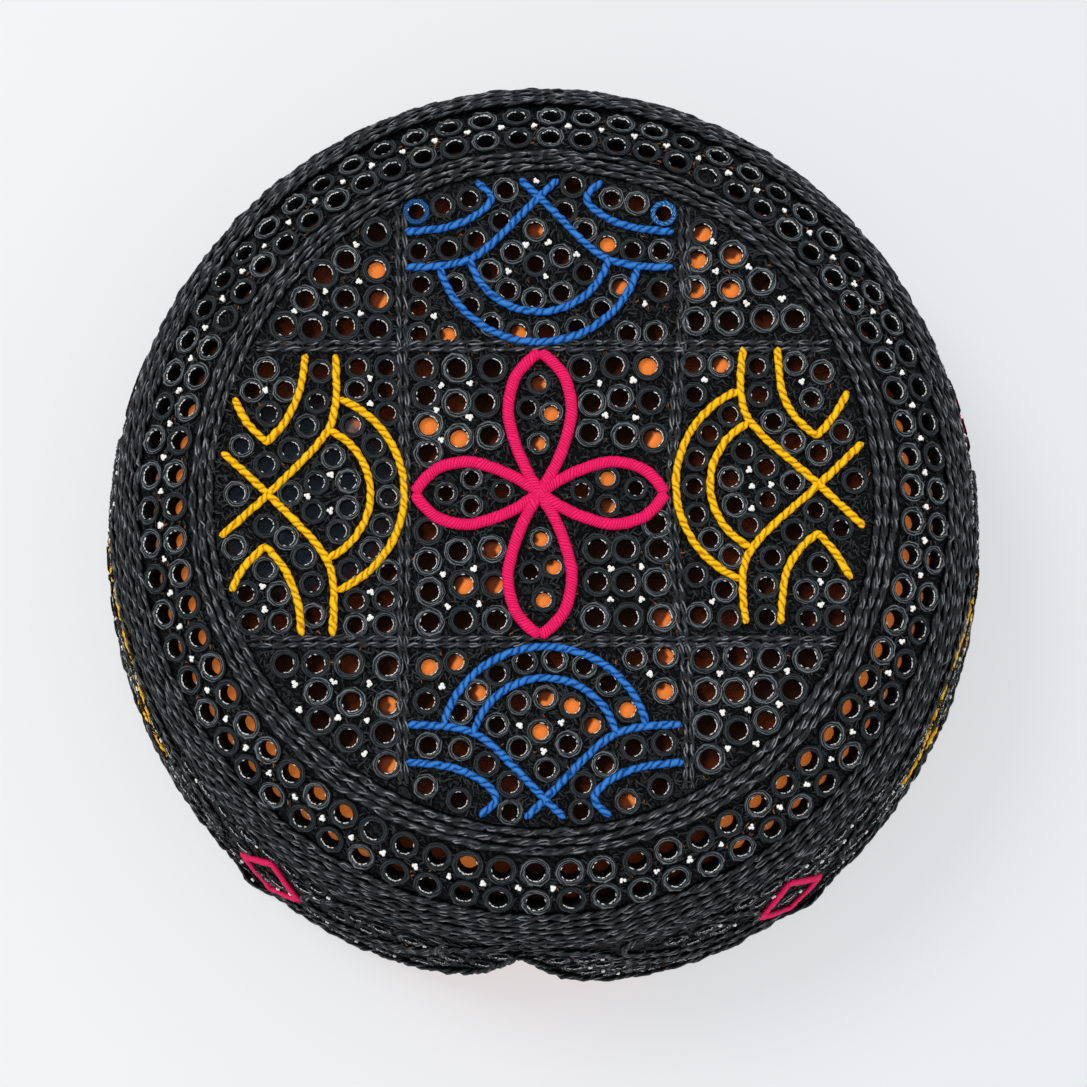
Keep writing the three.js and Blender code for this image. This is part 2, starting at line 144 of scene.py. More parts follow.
class Sheet:
    """A node tree, with one way to add a node to it."""

    def __init__(self, tree: bpy.types.NodeTree) -> None:
        """Keeps the tree."""
        self.tree = tree

    def node(self, kind: str, settings: dict | None = None, sockets: dict | None = None) -> bpy.types.Node:
        """Adds a node.

        Args:
            kind: the node's type.
            settings: what is set before the sockets.
            sockets: values or links, by the socket's name or number.

        Returns:
            The new node.
        """
        made = self.tree.nodes.new(kind)
        for name, value in (settings or {}).items():
            setattr(made, name, value)
        for name, value in (sockets or {}).items():
            if isinstance(value, Number):
                value = value.socket
            if isinstance(value, bpy.types.NodeSocket):
                self.tree.links.new(value, made.inputs[name])
            else:
                made.inputs[name].default_value = value
        return made

    def number(self, kind: str, settings: dict | None, sockets: dict, output: int = 0) -> Number:
        """Adds a node and wraps one of its outputs as a number."""
        return Number(self, self.node(kind, settings, sockets).outputs[output])

    def attribute(self, name: str) -> Number:
        """A mesh attribute's number in a material."""
        return self.number("ShaderNodeAttribute", {"attribute_name": name}, {}, output=2)

    def named(self, name: str, kind: str = "FLOAT_VECTOR") -> bpy.types.NodeSocket:
        """A mesh attribute's socket in a geometry tree."""
        return self.node("GeometryNodeInputNamedAttribute", {"data_type": kind}, {"Name": name}).outputs[0]

    def stored(self, geometry: object, name: str, value: object) -> bpy.types.NodeSocket:
        """A geometry that keeps a number on each of its points."""
        sockets = {"Geometry": geometry, "Name": name, "Value": value}
        settings = {"data_type": "FLOAT", "domain": "POINT"}
        return self.node("GeometryNodeStoreNamedAttribute", settings, sockets).outputs[0]

    def tint(self, factor: object, low: object, high: object) -> bpy.types.NodeSocket:
        """Mixes two colours by a factor."""
        sides = {
            slot: (*value, 1.0) if isinstance(value, tuple) else value
            for slot, value in ((6, low), (7, high))
        }
        return self.node("ShaderNodeMix", {"data_type": "RGBA"}, {0: factor, **sides}).outputs[2]

    def vector(self, operation: str, first: object, second: object = None) -> bpy.types.NodeSocket:
        """Adds one Vector Math node and returns its vector."""
        sockets = {0: first} if second is None else {0: first, 1: second}
        return self.node("ShaderNodeVectorMath", {"operation": operation}, sockets).outputs[0]

    def scaled(self, vector: object, by: object) -> bpy.types.NodeSocket:
        """A vector times a number."""
        return self.node("ShaderNodeVectorMath", {"operation": "SCALE"}, {0: vector, "Scale": by}).outputs[0]

    def noise(self, place: object, scale: float, detail: float = 2.0, seed: object = None) -> bpy.types.Node:
        """A noise texture; a seed sets it apart from others at the same place."""
        sockets = {"Vector": place, "Scale": scale, "Detail": detail}
        if seed is None:
            return self.node("ShaderNodeTexNoise", None, sockets)
        return self.node("ShaderNodeTexNoise", {"noise_dimensions": "4D"}, {**sockets, "W": seed})

    def grain(self, place: object, scale: float, detail: float = 2.0, seed: object = None) -> Number:
        """A noise texture's number."""
        return Number(self, self.noise(place, scale, detail, seed).outputs[0])

    def bump(self, height: Number, distance: float, strength: float = 1.0) -> bpy.types.NodeSocket:
        """A normal that follows a height; the distance is in metres."""
        sockets = {"Height": height, "Distance": distance, "Strength": strength}
        return self.node("ShaderNodeBump", None, sockets).outputs[0]

    def surface(self, sockets: dict) -> None:
        """Ends a material with one Principled shader."""
        shader = self.node("ShaderNodeBsdfPrincipled", None, sockets)
        self.node("ShaderNodeOutputMaterial", None, {"Surface": shader.outputs[0]})


# Finishes
def blank_material(name: str) -> tuple[bpy.types.Material, Sheet, bpy.types.NodeSocket]:
    """An empty material with its sheet and the object's own coordinates."""
    material = bpy.data.materials.new(name)
    material.use_nodes = True
    material.node_tree.nodes.clear()
    sheet = Sheet(material.node_tree)
    return material, sheet, sheet.node("ShaderNodeTexCoord").outputs["Object"]


@dataclass(frozen=True)
class ThreadFinish:
    """A stitched thread: fibres that wind along it, with painted shade between them and on its sides, and a
    painted highlight on its crests.
    """

    name: str
    # deep is the painted shade colour between fibres and on the sides that face away from the cloth; crest is
    # the painted highlight colour on the tops.
    deep: Triple
    face: Triple
    crest: Triple
    fibre: float = 0.0016
    fibres: float = 2.0
    painted_shade_edge: float = 0.0
    bump: float = 0.00018
    coat: float = 0.5
    bend: float = 5.0
    shadow: float = -0.3

    def make(self) -> bpy.types.Material:
        """Builds the material from the lay of the thread: its distance along and its turn around; shade and
        highlights are painted from how far each point faces out of the cloth.
        """
        material, sheet, place = blank_material(self.name)
        run, turn, tone, top = (sheet.attribute(name) for name in ("run", "round", "tone", "crest"))
        cloud = sheet.grain(place, 420.0)
        wave = (run * (math.tau / self.fibre) + turn * (math.tau * self.fibres) + cloud * self.bend).sine()
        thread = (wave * 0.5 + 0.5) * 0.6 + sheet.grain(place, 2400.0) * 0.4
        # Fibre pattern times painted shade: darker where the thread faces away from the cloth, on its sides
        # and in the gaps between strands.
        body = thread.between(self.shadow, 0.5) * top.between(self.painted_shade_edge, 0.75)
        colour = sheet.tint(body, self.deep, self.face)
        # Painted highlight: the crest colour on the tops of the strands, stronger at random by tone; it also
        # drives the coat.
        share = tone.between(0.35, 0.65) * 0.85 + 0.15
        painted_highlight = top.between(0.72, 0.99) * thread.between(0.35, 0.75) * share
        sheet.surface({
            "Base Color": sheet.tint(painted_highlight, colour, self.crest),
            "Roughness": 0.6,
            "Specular IOR Level": 0.05,
            "Coat Weight": painted_highlight * self.coat,
            "Coat Roughness": 0.28,
            "Normal": sheet.bump(thread, self.bump),
        })
        return material


@dataclass(frozen=True)
class GroundFinish:
    """Cloth closed up with black stitches that run in short curls."""

    name: str = "black_ground"
    deep: Triple = (0.0008, 0.0009, 0.0010)
    face: Triple = (0.016, 0.018, 0.020)

    def make(self) -> bpy.types.Material:
        """Builds the material from curled bands on the object's own coordinates."""
        material, sheet, place = blank_material(self.name)
        curl = sheet.noise(place, 520.0, 1.0).outputs["Color"]
        bent = sheet.node(
            "ShaderNodeVectorMath", {"operation": "MULTIPLY_ADD"}, {0: curl, 1: (0.004,) * 3, 2: place}
        ).outputs[0]
        rows = sheet.number(
            "ShaderNodeTexWave",
            {"wave_type": "BANDS", "bands_direction": "DIAGONAL"},
            {"Vector": bent, "Scale": 300.0, "Distortion": 6.0, "Detail": 2.0, "Detail Scale": 2.0},
            output=1,
        )
        thread = rows * 0.7 + sheet.grain(place, 2800.0) * 0.3
        colour = sheet.tint(thread.between(0.35, 0.95), self.deep, self.face)
        bump = sheet.bump(thread, 0.0005)
        sheet.surface({"Base Color": colour, "Roughness": 0.7, "Specular IOR Level": 0.1, "Normal": bump})
        return material


@dataclass(frozen=True)
class CottonFinish:
    """The lining's plain-woven cotton, with painted shade, a painted glow where it is lit, and one dark patch
    behind it.
    """

    name: str = "orange_cotton_weave"
    deep: Triple = (0.88, 0.19, 0.030)
    face: Triple = (1.0, 0.27, 0.048)
    # fold and dark are painted shade colours, for the lining in half and in full shade behind the cloth.
    fold: Triple = (0.17, 0.034, 0.010)
    dark: Triple = (0.034, 0.010, 0.005)
    patch: Triple = (0.060, 0.082, 0.108)
    patch_centre: Triple = (-0.0475, 0.0, 0.058)
    patch_reach: Point = (0.0150, 0.0215)
    yarn: float = 0.0005
    # Strength of the painted glow where the lining is lit.
    through: float = 0.18

    def make(self) -> bpy.types.Material:
        """Builds the weave from two crossed waves on the object's own coordinates."""
        material, sheet, place = blank_material(self.name)
        axes = sheet.node("ShaderNodeSeparateXYZ", None, {0: place})
        across, along, up = (Number(sheet, socket) for socket in axes.outputs)
        grain = sheet.grain(place, 900.0)
        beat = math.tau / self.yarn
        warp, weft = ((way * beat + grain * 2).sine() for way in (across + up * 0.4, along + up * 0.5))
        thread = warp * weft * 0.3 + 0.5 + (grain - 0.5) * 0.6
        colour = sheet.tint(thread.between(0.0, 0.8), self.deep, self.face)
        painted_shade_level = sheet.attribute("painted_shade_level")
        # Painted shade: towards fold for half shade and towards dark for full shade, by the painted shade
        # level.
        colour = sheet.tint(painted_shade_level.between(1.02, 1.45), colour, self.fold)
        colour = sheet.tint(painted_shade_level.between(1.45, 1.98), colour, self.dark)
        away = sheet.vector("SUBTRACT", place, self.patch_centre)
        reach = sheet.number("ShaderNodeVectorMath", {"operation": "LENGTH"}, {0: away}, output=1)
        outer_face = painted_shade_level.between(0.4, 0.6)
        edge = (1 - (reach + (grain - 0.5) * 0.004).between(*self.patch_reach)) * outer_face
        # Painted glow: the lit lining's outer face glows in its own colour.
        lit = (1 - painted_shade_level.between(1.0, 1.5)) * outer_face * (1 - edge)
        sheet.surface({
            "Base Color": sheet.tint(edge, colour, self.patch),
            "Roughness": 0.85,
            "Specular IOR Level": 0.1,
            "Emission Color": sheet.tint(lit, (0.0, 0.0, 0.0), self.face),
            "Emission Strength": self.through,
            "Normal": sheet.bump(thread, 0.0002, 0.6),
        })
        return material


class Finishes:
    """Every finish of the cap, each made once."""

    def __init__(self) -> None:
        """Makes the materials."""
        # gap is the painted shade colour between strands, glint the painted highlight colour on their crests.
        gap, black, glint = (0.0004, 0.0005, 0.0006), (0.032, 0.035, 0.037), (0.34, 0.36, 0.375)
        self.ring = ThreadFinish(
            "black_binding", gap, (0.025, 0.030, 0.032), (0.15, 0.17, 0.18), fibre=0.0060, fibres=2.4,
            painted_shade_edge=0.3, bump=0.0003, bend=7.0, shadow=0.0,
        ).make()
        black_thread = ThreadFinish("black_rope", gap, black, glint, fibre=0.004, fibres=1.0, painted_shade_edge=0.2)
        self.rope = black_thread.make()
        self.stitch = replace(black_thread, name="black_stitches", fibre=0.003).make()
        self.ground = GroundFinish().make()
        self.magenta = ThreadFinish(
            "magenta_satin", (0.40, 0.001, 0.045), (0.93, 0.012, 0.135), (1.0, 0.06, 0.24), fibre=0.00055,
            fibres=4.4, painted_shade_edge=-0.3, coat=0.1, bend=4.0, shadow=0.05,
        ).make()
        yellow = ThreadFinish(
            "yellow_satin", (0.45, 0.17, 0.001), (1.0, 0.53, 0.004), (1.0, 0.80, 0.06), fibre=0.0018,
            fibres=2.4, painted_shade_edge=-0.15, coat=0.1, bend=9.0, shadow=0.12,
        )
        self.yellow = yellow.make()
        self.blue = replace(
            yellow, name="blue_satin", deep=(0.003, 0.030, 0.15), face=(0.022, 0.160, 0.53),
            crest=(0.20, 0.50, 0.90), coat=0.2,
        ).make()
        self.blue_black = ThreadFinish(
            "blue_black_binding", gap, (0.010, 0.065, 0.20), (0.06, 0.30, 0.70), fibre=0.0010
        ).make()
        # White thread for the knots; the eyelets' painted highlights use it too.
        self.white = ThreadFinish(
            "white_knot", (0.60, 0.59, 0.56), (0.95, 0.94, 0.91), (1.0, 0.99, 0.97), painted_shade_edge=-0.9
        ).make()
        self.speck = ThreadFinish(
            "orange_ends", (0.12, 0.03, 0.01), (0.45, 0.13, 0.04), (0.8, 0.5, 0.3)
        ).make()
        self.cotton = CottonFinish().make()
        self.by_slot = {Slot.MAGENTA: self.magenta, Slot.YELLOW: self.yellow, Slot.BLUE: self.blue}


# Meshes and pieces
def new_object(
    name: str, points: Iterable[Sequence[float]], faces: Sequence = (), edges: Sequence = ()
) -> bpy.types.Object:
    """Makes a linked object from points in metres, faces and edges."""
    mesh = bpy.data.meshes.new(name)
    mesh.from_pydata([tuple(p) for p in points], list(edges), list(faces))
    mesh.update()
    return linked(name, mesh)


def linked(name: str, data: bpy.types.ID) -> bpy.types.Object:
    """Puts a mesh, a camera or a light in the scene as an object."""
    made = bpy.data.objects.new(name, data)
    bpy.context.scene.collection.objects.link(made)
    return made


def set_attribute(mesh: bpy.types.Mesh, name: str, values: Sequence, domain: str = "POINT") -> None:
    """Writes a float or vector attribute on a mesh.

    Args:
        mesh: the mesh.
        name: the attribute's name.
        values: one number or vector for each element.
        domain: POINT or CORNER.
    """
    vectors = isinstance(values[0], Vector)
    layer = mesh.attributes.new(name, "FLOAT_VECTOR" if vectors else "FLOAT", domain)
    flat = np.asarray([tuple(v) if vectors else v for v in values], np.float32).ravel()
    layer.data.foreach_set("vector" if vectors else "value", flat)


def dressed(
    piece: bpy.types.Object, slot: Slot, *stands_for: str, material: bpy.types.Material | None = None
) -> None:
    """Gives a finished piece its body and, if given, a material, and hides the CAD nodes it stands for."""
    if material:
        piece.data.materials.clear()
        piece.data.materials.append(material)
    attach(piece, "root")
    if stands_for:
        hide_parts(*stands_for)
    log.info("%s: %d faces", piece.name, len(piece.data.polygons))


def frozen(name: str, source: bpy.types.Object, helpers: Sequence[bpy.types.Object] = ()) -> bpy.types.Object:
    """Turns an object with a node modifier into a plain mesh object, and removes what it was made from."""
    graph = bpy.context.evaluated_depsgraph_get()
    graph.update()
    mesh = bpy.data.meshes.new_from_object(source.evaluated_get(graph), depsgraph=graph)
    mesh.name = name
    made = linked(name, mesh)
    for helper in (source, *helpers):
        bpy.data.objects.remove(helper)
    return made


def joined(name: str, parts: Sequence[bpy.types.Object], weld: float = 0.0) -> bpy.types.Object:
    """Joins objects at the origin into one, keeping their attributes and materials."""
    with bpy.context.temp_override(active_object=parts[0], selected_editable_objects=list(parts)):
        bpy.ops.object.join()
    whole = parts[0]
    whole.name = name
    whole.data.name = name
    if weld:
        build = bmesh.new()
        build.from_mesh(whole.data)
        bmesh.ops.remove_doubles(build, verts=build.verts, dist=weld)
        build.to_mesh(whole.data)
        build.free()
    return whole


def indexed(places: Sequence[Sequence[float]]) -> KDTree:
    """A search tree over places."""
    tree = KDTree(len(places) or 1)
    for i, place in enumerate(places):
        tree.insert(place, i)
    tree.balance()
    return tree


# The cap's form
@dataclass(frozen=True)
class CapForm:
    """The cap's outer surface: a flat crown and a side laid out by bearing and by distance down it."""

    height: float = 61.0
    length_ratio: float = 1.014
    stations: tuple[Point, ...] = (
        (60.4, 64.5), (56.7, 72.3), (53.7, 77.5), (51.0, 80.1), (46.2, 83.5), (41.0, 85.4), (29.0, 88.2),
        (17.0, 90.2), (0.0, 91.3),
    )
    crown_radius: float = 64.2
    crease_bearing: float = -2.8
    crease_half_width: float = 4.5
    crease_depth: float = 1.0
    crease_top: float = 50.0
    crease_full: float = 36.0
    arch: tuple[Point, ...] = ((0, 30), (3, 25.5), (7, 20), (12, 14.5), (19, 9.5), (27, 5), (36, 0))
    arch_centre: float = -4.5
    flaps: tuple[Point, ...] = ((-40.6, 1.7), (37.0, 1.5))
    table: dict[str, np.ndarray] = field(default_factory=dict)

    def __post_init__(self) -> None:
        """Lays out the side's profile: distance down it against radius, height and the way out."""
        heights, radii = (np.array([s[i] for s in self.stations]) for i in (0, 1))
        knots = np.concatenate([[0], np.cumsum(np.hypot(np.diff(heights), np.diff(radii)))])
        down = np.linspace(0, knots[-1], 400)
        curves = [self._through(knots, values, down) for values in (radii, heights)]
        slopes = [np.gradient(curve, down) for curve in curves]
        size = np.hypot(*slopes)
        self.table.update(
            down=down, radius=curves[0], z=curves[1], out=-slopes[1] / size, up=slopes[0] / size
        )

    @staticmethod
    def _through(knots: np.ndarray, values: np.ndarray, places: np.ndarray) -> np.ndarray:
        """A smooth curve through values at knots."""
        tangents = np.gradient(values, knots)
        index = np.clip(np.searchsorted(knots, places, side="right") - 1, 0, len(knots) - 2)
        span = knots[index + 1] - knots[index]
        t = (places - knots[index]) / span
        return (
            (2 * t**3 - 3 * t**2 + 1) * values[index]
            + (t**3 - 2 * t**2 + t) * span * tangents[index]
            + (-2 * t**3 + 3 * t**2) * values[index + 1]
            + (t**3 - t**2) * span * tangents[index + 1]
        )

    def at(self, name: str, down: float) -> float:
        """One of the profile's values at a distance down the side, in millimetres."""
        return float(np.interp(down, self.table["down"], self.table[name]))

    def down_at(self, z: float) -> float:
        """The distance down the side at a height."""
        return float(np.interp(-z, -self.table["z"], self.table["down"]))

    @property
    def foot(self) -> float:
        """The distance down the side at the rim."""
        return float(self.table["down"][-1])

    def crease(self, bearing: float, z: float) -> float:
        """How far the pinch above the opening draws the cloth in."""
        away = abs(bearing - self.crease_bearing) / self.crease_half_width
        fade = min(max((self.crease_top - z) / (self.crease_top - self.crease_full), 0), 1)
        return self.crease_depth * max(0.0, 1 - away) ** 0.8 * fade

    def flap(self, bearing: float, z: float) -> float:
        """How far the rim stands out below the front diamonds."""
        fade = max(0.0, 1 - z / 9) ** 0.5 if z < 9 else 0.0
        return sum(size * fade * math.exp(-(((bearing - at) / 2.6) ** 2)) for at, size in self.flaps)

    def side(self, bearing: float, down: float, lift: float = 0.0) -> Seat:
        """A place on the side.

        Args:
            bearing: degrees from the front, positive to the right.
            down: distance down the side in millimetres.
            lift: distance out of the cloth in millimetres.

        Returns:
            The point in metres and the way out of the cloth.
        """
        angle = math.radians(bearing)
        radius, z = self.at("radius", down), self.at("z", down)
        out, up = self.at("out", down), self.at("up", down)
        reach = radius - self.crease(bearing, z) + self.flap(bearing, z) + out * lift
        point = Vector((reach * math.sin(angle), -self.length_ratio * reach * math.cos(angle), z + up * lift))
        normal = Vector((out * math.sin(angle), -out * math.cos(angle), up)).normalized()
        return point * MM, normal

    def crown(self, x: float, y: float, lift: float = 0.0) -> Seat:
        """A place on the crown, with the cloth's slight unevenness, in metres, and the way up."""
        swell = noise.noise(Vector((x, y, 3.0)) * 0.045) * 0.35
        fade = min(1.0, max(0.0, (self.crown_radius - math.hypot(x, y)) / 8))
        return Vector((x, y, self.height + swell * fade + lift)) * MM, Vector((0, 0, 1))

    def on_arch(self, margin: float = 0.0) -> list[Point]:
        """The front opening's outline as bearings and distances down, from its left foot to its right."""
        half = [(across + margin, z) for across, z in self.arch[1:]]
        peak = (0.0, self.arch[0][1] + 2 * margin)
        outline = [(-x, z) for x, z in reversed(half)] + [peak] + half
        dense: list[Point] = []
        for (x0, z0), (x1, z1) in zip(outline, outline[1:]):
            steps = max(1, round(math.hypot(x1 - x0, z1 - z0) / 2.2))
            dense += [(x0 + (x1 - x0) * i / steps, z0 + (z1 - z0) * i / steps) for i in range(steps)]
        dense.append(outline[-1])
        return [self.bearing_of(self.arch_centre + x, max(z, 0.0)) for x, z in dense]

    def bearing_of(self, x: float, z: float) -> Point:
        """The bearing and distance down of a place on the front, from its x and height."""
        down = self.down_at(z)
        return math.degrees(math.asin(x / self.at("radius", down))), down


# Eyelets
class Behind(Enum):
    """How the lining lies behind an eyelet: its depth below the cloth's face and how much painted shade it
    gets there.
    """

    TOUCHING = (1.0, 0.0)
    TUBE = (2.75, 0.0)
    HALF_PAINTED_SHADE = (3.1, 0.55)
    FULL_PAINTED_SHADE = (3.1, 1.0)


@dataclass
class Eyelet:
    """A bound hole: its place in its panel's own layout, its size, how its lining lies and where the painted
    shadow on that lining falls.
    """

    place: Point
    size: float = 1.0
    behind: Behind = Behind.FULL_PAINTED_SHADE
    blue: bool = False
    lit_side: float = 0.0
    lit_edge: float = -9.0


@dataclass(frozen=True)
class CrownChart:
    """Where the crown's eyelets, knots and touching places lie, charted to half a millimetre."""

    petals: tuple[Point, ...] = (
        (-1, 22), (-3, 17), (1.5, 16), (-1, 10), (-19, 0), (-14, 3), (-14, -2.5), (-8, 0.5), (7.5, 0.5),
        (12.5, 3), (12.5, -2.5), (18, 1), (-0.5, -9), (-2.5, -15.5), (2, -14.5), (0, -21),
    )
    centre: tuple[Point, ...] = (
        (-23.5, 25), (-17, 25), (-10, 25), (-23, 19.5), (-17, 18), (-11.5, 18), (-22.5, 13.5), (-16.5, 11),
        (-10.5, 11.5), (-22.5, 8), (7.5, 25), (14, 25.5), (20.5, 25.5), (9.5, 18), (15, 19), (21, 18.5),
        (9, 12), (16, 11.5), (21.5, 11), (-22.5, -7.5), (-22.5, -13.5), (-22, -19.5), (-22, -25.5),
        (-16.5, -11.5), (-15.5, -18), (-15.5, -25), (-10, -11), (-9.5, -18), (-9, -25), (22, -6),
        (10.5, -11), (16, -11), (22.5, -11), (10.5, -17.5), (16, -17.5), (22, -17.5), (10, -24.5),
        (16.5, -24.5), (23, -24.5),
    )
    corners: tuple[Point, ...] = (
        (-33, 52.5), (-39, 47), (-33, 45), (-43.5, 44), (-47, 39), (-39, 39), (-32.5, 39), (-51, 33.5),
        (-45.5, 33), (-39, 33.5), (-32.5, 33), (31.5, 52.5), (30.5, 47), (37.5, 48), (30, 41), (37, 41),
        (43, 42.5), (30, 34.5), (36.5, 34.5), (43.5, 35), (49.5, 35), (-50, -33.5), (-44, -33.5),
        (-37.5, -33.5), (-30, -34), (-43.5, -39), (-37, -41), (-30, -41.5), (-43, -44.5), (-37.5, -48),
        (-30.5, -47), (-30, -53), (31, -32.5), (37.5, -32), (44, -32.5), (51, -32.5), (31.5, -39),
        (37, -39), (42.5, -38.5), (48, -38.5), (31.5, -45.5), (37.5, -46.5), (43, -44.5), (32, -52),
    )
    left: tuple[Point, ...] = (
        (-54.4, 24.7), (-57.1, 20.5), (-50.6, 20.7), (-53.8, 15.8), (-43.7, 24.4), (-44.4, 18.3),
        (-46.2, 13.4), (-49.4, 8.6), (-59, 9.5), (-54.1, 5.7), (-59.8, -0.1), (-49.4, 0), (-44.3, 2.1),
        (-38.1, 2.4), (-41.1, 7.2), (-44.8, -3.6), (-38.1, -2.9), (-39.9, -7.6), (-54.1, -6.4), (-50, -8.8),
        (-60, -10.7), (-46.5, -12.5), (-54, -15), (-44.9, -17.9), (-57.7, -19.8), (-51.3, -19.8),
        (-56.8, -25.3), (-51, -25.3), (-44.5, -24.1), (-37.4, 13.6), (-33.1, 9.4), (-31.1, 4.5),
        (-30.2, -0.7), (-31.4, -6.4), (-33.4, -11.2), (-37.6, -15.2), (-36.4, 25.3), (-30.9, 25.2),
        (-36.7, 20.7), (-31, 20.6), (-30.6, 15.9), (-30, -15.6), (-36.3, -21.3), (-30.6, -20.8),
        (-36.4, -26), (-30.6, -25.8),
    )
    right: tuple[Point, ...] = (
        (29.4, 25.8), (34.8, 25.8), (42, 25.4), (49.4, 25.9), (54.7, 24.2), (29.6, 19.7), (42.4, 19.7),
        (52.5, 18.7), (36.5, 15.7), (45, 14.3), (32.5, 11.9), (48.8, 10.3), (58.3, 12.2), (39.2, 8.4),
        (29.9, 6.9), (53.8, 8), (43.5, 5.2), (36.5, 3), (48.6, 2.2), (60.7, 2.5), (29.4, 1.4), (43.7, -1.3),
        (37.3, -2.3), (53, -3.4), (29.9, -4.2), (40.2, -6.3), (48.8, -7.6), (57.9, -6.9), (32.5, -9.1),
        (36.5, -12.4), (44.5, -12.7), (53.7, -14.1), (29.6, -16.1), (43.2, -18.2), (35.1, -19),
        (50.9, -19.3), (57, -19.4), (30.1, -24), (36.1, -24.6), (43.3, -24.4), (51.3, -24.7), (56.8, -24.5),
    )
    back: tuple[Point, ...] = (
        (-25.2, 56.8), (-19.9, 58), (-14.7, 59.4), (-7.5, 61.2), (5.9, 62.2), (13.5, 59.5), (18.5, 58.5),
        (23.8, 56.4), (-24.6, 48.7), (-18.7, 49.2), (-13.3, 51.1), (-8.4, 54.9), (-6.1, 48.5), (-1.5, 46.1),
        (3.6, 47.7), (-1.6, 53.1), (4.2, 56.9), (8.2, 52.9), (12.7, 50.2), (17.6, 48.9), (23.2, 48.7),
        (-10.5, 44.7), (8.2, 44.3), (-24.1, 42), (-17.4, 41.9), (15.2, 41.6), (22.9, 40.9), (-7, 40.7),
        (-1.9, 39), (3.6, 40.2), (-24.6, 37.2), (-14.3, 37.6), (11.6, 36.9), (-24.5, 31.8), (-18.8, 31.9),
        (-10.2, 33.8), (-5, 32.2), (0.6, 32.2), (6.6, 33.2), (16.6, 32), (22, 32.2),
    )
    front: tuple[Point, ...] = (
        (-22.1, -34.1), (-16.9, -33.2), (-22.6, -40.8), (-16.1, -43.1), (-12.7, -39.1), (-8.9, -35.5),
        (-3.6, -33.2), (2.2, -32.7), (7.9, -34), (12.5, -37.4), (16.2, -42.4), (17.7, -32.4), (23.6, -32),
        (23.4, -38.8), (-4.7, -41.1), (0.4, -40.1), (5.5, -41.6), (9.5, -45.4), (-8.9, -45.4),
        (-0.6, -46.6), (-4.7, -49.8), (4.8, -49.1), (0.6, -54), (-22.1, -49.4), (-15.9, -50), (-10.9, -53),
        (-6.4, -56.8), (-6.4, -62.2), (7.6, -56.9), (7.2, -62.1), (11.8, -53), (17.3, -49.8), (23.2, -48.9),
        (-22.6, -57.3), (-16.2, -59.9), (16.1, -60.1), (22.4, -57.3),
    )
    touching: tuple[Point, ...] = (
        (-33, 45), (-32.5, 39), (-1.5, 53), (-19, 32.5), (-5, 32.5), (-22.5, 13.5), (-16.5, 11),
        (20.5, 25.5), (21.5, 11), (35, 26.5), (-37.5, 14), (-1, 22), (1.5, 16), (-1, 10), (-0.5, -9),
        (2, -14.5), (0, -21), (12.5, 3), (12.5, -2.5), (-10, -11), (-15.5, -18), (-9.5, -18), (22.5, -24.5),
        (-22, -34), (-12.5, -39), (0, -40), (-0.5, -46.5), (5.5, -41.5), (9.5, -45.5), (16, -42.5),
        (23.5, -32), (23, -39), (-30, -41.5), (-30, -53), (16, -60), (31.5, 52.5), (30.5, 47), (30, 41),
        (37, 41), (37.5, 48), (12.5, 50), (15, 41.5), (-17, -33),
    )
    white: tuple[Point, ...] = (
        (-20, 21.5), (-14.5, 22), (-21, 16.5), (-14.5, 15), (-20, 10.5), (11, 22), (17.5, 22.5), (12, 15.5),
        (18, 15), (-19.5, -16), (-13.5, -15), (-18.5, -22.5), (-12.5, -22), (13, -15), (19, -14.5),
        (13, -21), (19, -21), (-37, 50), (-36.5, 42.5), (-43, 40.5), (-49, 36.5), (-43, 36), (-36, 36),
        (33.5, 50.5), (34, 44.5), (40.5, 45.5), (33.5, 38), (40, 38), (47, 39), (-48, -37.5), (-40.5, -37),
        (-33.5, -37.5), (-47, -42.5), (-39.5, -44), (-34, -44.5), (-34.5, -51), (34, -35.5), (40, -35.5),
        (47, -35), (34.5, -43), (39.5, -42.5), (45.5, -41.5), (35.5, -50), (41, -49), (-3.5, 50), (1, 50.5),
        (-7, 44.5), (0.5, 43.5), (6.5, 48), (20, 38), (-21.5, 35.5), (-1.5, 63), (-4.5, -45.5), (3.5, -45),
        (0, -50.5), (-19.5, -38), (20.5, -35.5), (-54.5, 20.5), (-41.5, 3.5), (-46, -0.5), (-41.5, -3.5),
        (-34, 23), (-34, 18), (-33.5, -19.5), (-33.5, -24.5), (-54.5, -18.5), (-54, -23), (31.6, 22.7),
        (50.7, 22.2), (40.1, 4.7), (44.3, 1.6), (40.6, 1.4), (40.6, -3), (32.7, -21.4), (53.8, -17.6),
        (53.7, -22),
    )

    @staticmethod
    def turned(places: Iterable[Point], turn: int, shift: float) -> list[Point]:
        """Puts a motif's own (out, across) places on the crown."""
        angle = math.radians(turn)
        return [
            (
                out * math.cos(angle) - (across + shift) * math.sin(angle),
                out * math.sin(angle) + (across + shift) * math.cos(angle),
            )
            for out, across in places
        ]

